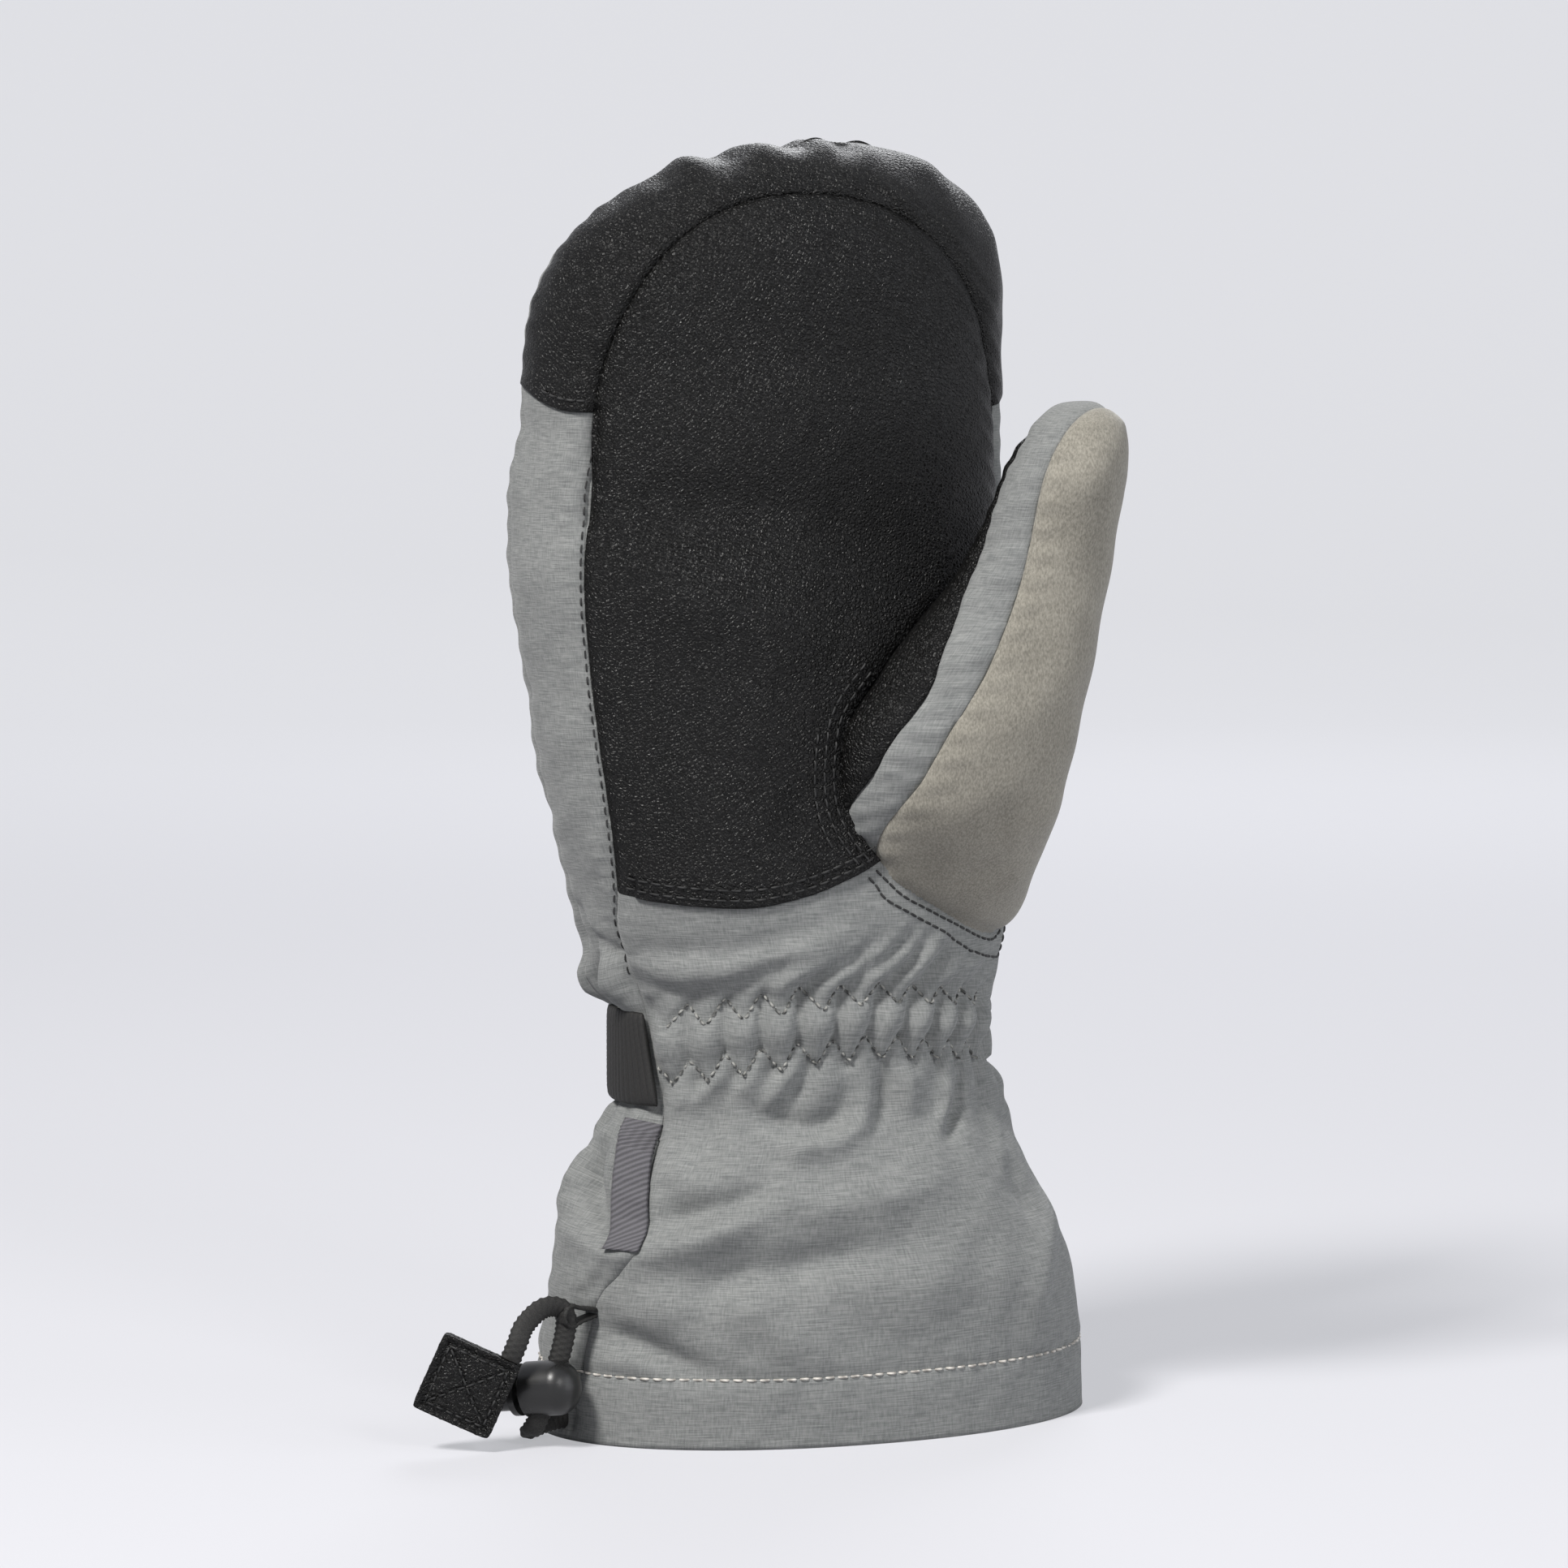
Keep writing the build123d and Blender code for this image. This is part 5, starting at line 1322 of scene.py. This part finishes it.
webbing("wristStrap", "wrist_strap", wrist["strapFrom"] - 2, wrist["strapTo"], 0.0, wrist["strapWidth"],
        strapShape["thick"], 0.2)
webbing("strapAnchor", "strap_anchor", 6, 41, 0.2, 21.5, 1.4)
webbing("strapTail", "strap_tail", 61, 115, 2.2, 22.0, 1.4)

labelShape = {"width": 9.6, "bottom": 46.8, "top": 76.5, "thick": 0.5}


# a folded twill label caught in the side seam, its free half lying back on the gauntlet
def sideLabel(shape):
    heights = np.linspace(shape["bottom"], shape["top"], 60)
    turn = math.pi + np.radians(smoothAlong(*np.array(seams["left"], float).T, heights))
    v = np.interp(heights, bodyForm["z"], bodyForm["run"])
    columns = []
    radius = np.interp(heights, bodyForm["z"], (bodyForm["a"] + bodyForm["b"]) / 2)
    for share in (0, 1):
        u = (turn - share * shape["width"] / radius * 0.93 - bodyForm["start"]) / (2 * math.pi)
        columns.append(clothPoints(u, v)[0])
        if share == 0:
            normals = sampleGrid(bodyGrid, bodyForm, u, v)["normal"]
    root, free = columns
    lift = 1.1 + 0.5 * np.sin(np.linspace(0, math.pi, len(heights)))[:, None]
    centres = (root + free) / 2 + normals * lift
    sides = root - free + normals * (-0.9 + 0.5 * np.linspace(1, 0, len(heights))[:, None])
    piece = ribbon("sideLabel", centres, sides, normals, shape["width"], shape["thick"], across=15,
                   crown=0.25)
    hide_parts("side_label")
    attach(piece, "mitten")
    finish(piece, "label_twill")


sideLabel(labelShape)

elasticShape = {"height": 6.0, "inset": 5.2, "thick": 0.7}
elastics = {"elasticUpper": ("wrist_elastic_upper", 100.0), "elasticLower": ("wrist_elastic_lower", 84.0)}
for name, (node, middle) in elastics.items():
    centres, out = waistLine(206, 330, -elasticShape["inset"], middle, 1.2)
    piece = ribbon(name, centres, np.tile([0.0, 0.0, 1.0], (len(centres), 1)), out, elasticShape["height"],
                   elasticShape["thick"], across=9)
    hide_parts(node)
    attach(piece, "mitten")
    finish(piece, "elastic")

keeperShape = {"turn": (-70.6, -18.3, 31.6), "toward": (-0.93, -0.36, 0.0), "reach": 2.5, "width": 3.8,
               "thick": 0.9}


# a loop of webbing folded round the cord's turn and sewn into the side seam
def cordKeeper(shape):
    middle, out = np.array(shape["turn"]), unit(np.array(shape["toward"]))
    up = np.array([0.0, 0.0, 1.0])
    turns = np.linspace(math.radians(-128), math.radians(128), 40)
    loop = middle + (np.outer(np.cos(turns), out) + np.outer(np.sin(turns), up)) * shape["reach"]
    root, neck = middle - out * 7.5, middle - out * 4.0
    line = np.vstack([root - up * 0.7, neck - up * 1.3, loop, neck + up * 1.3, root + up * 0.7])
    line = evenRun(line, 0.35)
    sides = np.tile(np.cross(out, up), (len(line), 1))
    normals = np.cross(unit(np.gradient(line, axis=0)), sides)
    piece = ribbon("cordKeeper", line, sides, normals, shape["width"], shape["thick"], ribs, across=15)
    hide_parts("cord_keeper")
    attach(piece, "mitten")
    finish(piece, "webbing")


cordKeeper(keeperShape)

tabShape = {"top": cordRoute[-1], "across": (0.8445, -0.3416, -0.412), "facing": cordShape["facing"],
            "entry": 7.0, "width": 20.0, "height": 19.5, "thick": 3.5, "squareness": 18.0,
            "dip": 0.42, "dipWidth": 0.8}
# the edge's layers as (share of the half thickness, inset)
tabEdge = [(0.93, 0.0), (0.55, 0.05), (0.3, 0.06), (0.12, 0.5), (-0.12, 0.5), (-0.3, 0.06), (-0.55, 0.05),
           (-0.93, 0.0)]
tabRows = [[(-7.6, -7.4), (7.6, -7.4), (7.6, 7.4), (-7.6, 7.4), (-7.6, -7.2)],
           [(-7.2, -7.0), (7.2, 7.0)], [(7.2, -7.0), (-7.2, 7.0)]]


def tabFrame(shape):
    across = unit(np.array(shape["across"]))
    facing = np.array(shape["facing"])
    out = unit(facing - across * (facing @ across))
    down = unit(np.cross(across, out))
    middle = np.array(shape["top"]) - across * shape["entry"] + down * shape["height"] / 2
    return middle, across, down, out


# half thickness over the tab's face: crowned, sewn flat along the cross and the edges
def tabThickness(s, t):
    half = tabShape["width"] / 2
    seam = np.minimum(np.abs(s - t), np.abs(s + t)) / math.sqrt(2)
    border = np.abs(np.maximum(np.abs(s), np.abs(t)) - (half - 2.0))
    inside = np.maximum(np.abs(s), np.abs(t)) < half - 1.6
    dip = np.where(inside, hump(seam, tabShape["dipWidth"]), 0) + hump(border, tabShape["dipWidth"])
    dip = dip * tabShape["dip"]
    return tabShape["thick"] / 2 + 0.12 * np.sin(s * 0.9 + 1) * np.cos(t * 0.8) - dip


def pullTab(shape):
    middle, across, down, out = tabFrame(shape)
    count = 160
    turn = np.arange(count) * 2 * math.pi / count
    power = shape["squareness"]
    edge = (np.abs(np.cos(turn)) ** power + np.abs(np.sin(turn)) ** power) ** (-1 / power)
    ox, oy = edge * np.cos(turn) * shape["width"] / 2, edge * np.sin(turn) * shape["height"] / 2
    ragged = 0.14 * np.sin(turn * 37) + 0.1 * np.sin(turn * 23 + 1)
    radii = np.linspace(0.02, 1, 30)
    rings = [(ox * r, oy * r, tabThickness(ox * r, oy * r)) for r in radii]
    for share, inset in tabEdge:
        grow = 1 - (inset + ragged * (abs(share) > 0.2) * 0.6) / (shape["width"] / 2)
        rings.append((ox * grow, oy * grow, shape["thick"] / 2 * share + 0 * ox))
    rings += [(ox * r, oy * r, -tabThickness(ox * r, oy * r)) for r in radii[::-1]]
    bow = lambda s, t: 0.35 * np.cos(s * 0.16) - 0.2 * t * 0.1
    onTab = lambda s, t, h: (middle + np.outer(s, across) + np.outer(t, down)
                             + np.outer(h + bow(s, t), out))
    flat = np.concatenate([np.stack([s, t], 1) for s, t, h in rings])
    points = np.vstack([onTab(*ring) for ring in rings])
    piece = makeMesh("pullTab", points, tubeFaces(len(rings), count), flat)
    fixNormals(piece)
    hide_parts("pull_tab")
    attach(piece, "mitten")
    finish(piece, "palm_leather")
    fine = {**stitchShape, "length": 2.0, "gap": 0.5, "radius": 0.26}
    for side, face in ((1, "front"), (-1, "back")):
        for k, row in enumerate(tabRows):
            s, t = evenRun([(s, t, 0) for s, t in row], 0.5).T[:2]
            place = onTab(s, t, side * tabThickness(s, t))
            stitchRow(f"tabStitches{k + 1}{face}", place, np.tile(out * side, (len(place), 1)), "black",
                      "palm_leather", fine)
    return piece


tab = pullTab(tabShape)

# the pieces that stay as the frame has them only get their finish
plainPieces = {"lock_barrel": "lock_plastic", "lock_plunger": "lock_plastic", "lock_spring": "spring_steel",
               "strap_buckle": "buckle_plastic", "hem_cord": "elastic"}
for node, slot in plainPieces.items():
    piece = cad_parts[node]
    piece.data.materials.clear()
    piece.data.materials.append(finishes[slot])
print("stage: cord, straps and tab")

# the paper in metres; its glow is only seen by the camera and in reflections
stageSetup = {"paper": (0.36, 0.36, 0.385), "front": 3.2, "width": 7.0, "depth": 2.2, "rise": 3.2,
              "bend": 1.1, "glowFrom": 1.0, "glowTo": 2.6, "nearGlow": 0.385, "farGlow": 0.62,
              "glowColor": (0.955, 0.965, 1.0)}
roomSetup = {"color": (0.86, 0.88, 0.95), "light": 0.19, "seen": 0.70}


# 1 for the rays that see a surface: from the camera, or reflected or let through
def seenRays(tree):
    ray = addNode(tree, "LightPath")
    seen = addNode(tree, "Math", [(0, ray.outputs["Is Camera Ray"]), (1, ray.outputs["Is Glossy Ray"])],
                   operation="ADD")
    return addNode(tree, "Math", [(0, seen.outputs[0]), (1, ray.outputs["Is Transmission Ray"])],
                   operation="ADD").outputs[0]


# a paper sweep: flat floor that bends up into a backdrop
def sweepPaper(setup):
    turn = math.radians(cameraSetup["azimuth"])
    back = Vector((-math.sin(turn), math.cos(turn), 0))
    side = Vector((math.cos(turn), math.sin(turn), 0))
    profile = [(-setup["front"], 0.0), (0.0, 0.0), (setup["depth"], 0.0)]
    for k in range(1, 13):
        a = math.radians(90 * k / 12)
        profile.append((setup["depth"] + setup["bend"] * math.sin(a), setup["bend"] * (1 - math.cos(a))))
    profile.append((setup["depth"] + setup["bend"], setup["bend"] + setup["rise"]))
    points, faces = [], []
    for along, height in profile:
        for end in (-1, 1):
            points.append(back * along + side * end * setup["width"] / 2 + Vector((0, 0, height)))
    for k in range(len(profile) - 1):
        faces.append([2 * k, 2 * k + 1, 2 * k + 3, 2 * k + 2])
    paper = makeMesh("paper", np.array([list(p) for p in points]) / mm, faces)
    material, tree, shader = newMaterial("paper", Roughness=0.9, **{"Base Color": setup["paper"]})
    shader.inputs["Specular IOR Level"].default_value = 0.1
    where = addNode(tree, "TexCoord").outputs["Object"]
    tone = addNode(tree, "TexNoise", [("Vector", where)], Scale=1.2, Detail=2.0)
    light = tuple(c * 1.03 for c in setup["paper"])
    tree.links.new(mixColor(tree, tone.outputs["Fac"], setup["paper"], light), shader.inputs["Base Color"])
    flat = addNode(tree, "VectorMath", [(0, where)], operation="MULTIPLY")
    flat.inputs[1].default_value = (1.0, 1.0, 1.5)
    away = addNode(tree, "VectorMath", [(0, flat.outputs[0])], operation="LENGTH")
    glow = addNode(tree, "MapRange", [("Value", away.outputs["Value"])], From_Min=setup["glowFrom"],
                   From_Max=setup["glowTo"], To_Min=setup["nearGlow"], To_Max=setup["farGlow"])
    glow.interpolation_type = "SMOOTHSTEP"
    shown = addNode(tree, "Math", [(0, glow.outputs[0]), (1, seenRays(tree))], operation="MULTIPLY")
    shader.inputs["Emission Color"].default_value = (*setup["glowColor"], 1)
    tree.links.new(shown.outputs[0], shader.inputs["Emission Strength"])
    paper.data.materials.append(material)


sweepPaper(stageSetup)
lights = {
    # name: (place and aim in metres, size, watts, color)
    "keyLeft": ((-1.2, -0.7, 1.7), (0, 0, 0.17), 0.45, 48.0, (1.0, 0.98, 0.95)),
    "frontTop": ((0.3, -1.6, 1.0), (0, 0, 0.2), 0.5, 7.5, (1.0, 0.99, 0.97)),
    "fillRight": ((1.5, -1.1, 0.6), (0, 0, 0.15), 1.2, 9.0, (0.95, 0.97, 1.0)),
    "rimBack": ((0.9, 1.5, 1.3), (0, 0, 0.2), 0.9, 14.0, (0.97, 0.98, 1.0)),
}
for name, (place, aim, size, watts, color) in lights.items():
    data = bpy.data.lights.new(name, "AREA")
    data.size, data.energy, data.color = size, watts, color
    lamp = bpy.data.objects.new(name, data)
    bpy.context.scene.collection.objects.link(lamp)
    lamp.location = place
    lamp.rotation_euler = (Vector(place) - Vector(aim)).to_track_quat("Z", "Y").to_euler()
world = bpy.data.worlds.new("room")
bpy.context.scene.world = world
world.use_nodes = True
room = world.node_tree
room.nodes["Background"].inputs["Color"].default_value = (*roomSetup["color"], 1)
level = addNode(room, "MapRange", [("Value", seenRays(room))], To_Min=roomSetup["light"],
                To_Max=roomSetup["seen"])
room.links.new(level.outputs[0], room.nodes["Background"].inputs["Strength"])
bpy.context.scene.view_settings.view_transform = "Standard"
print("stage: light")
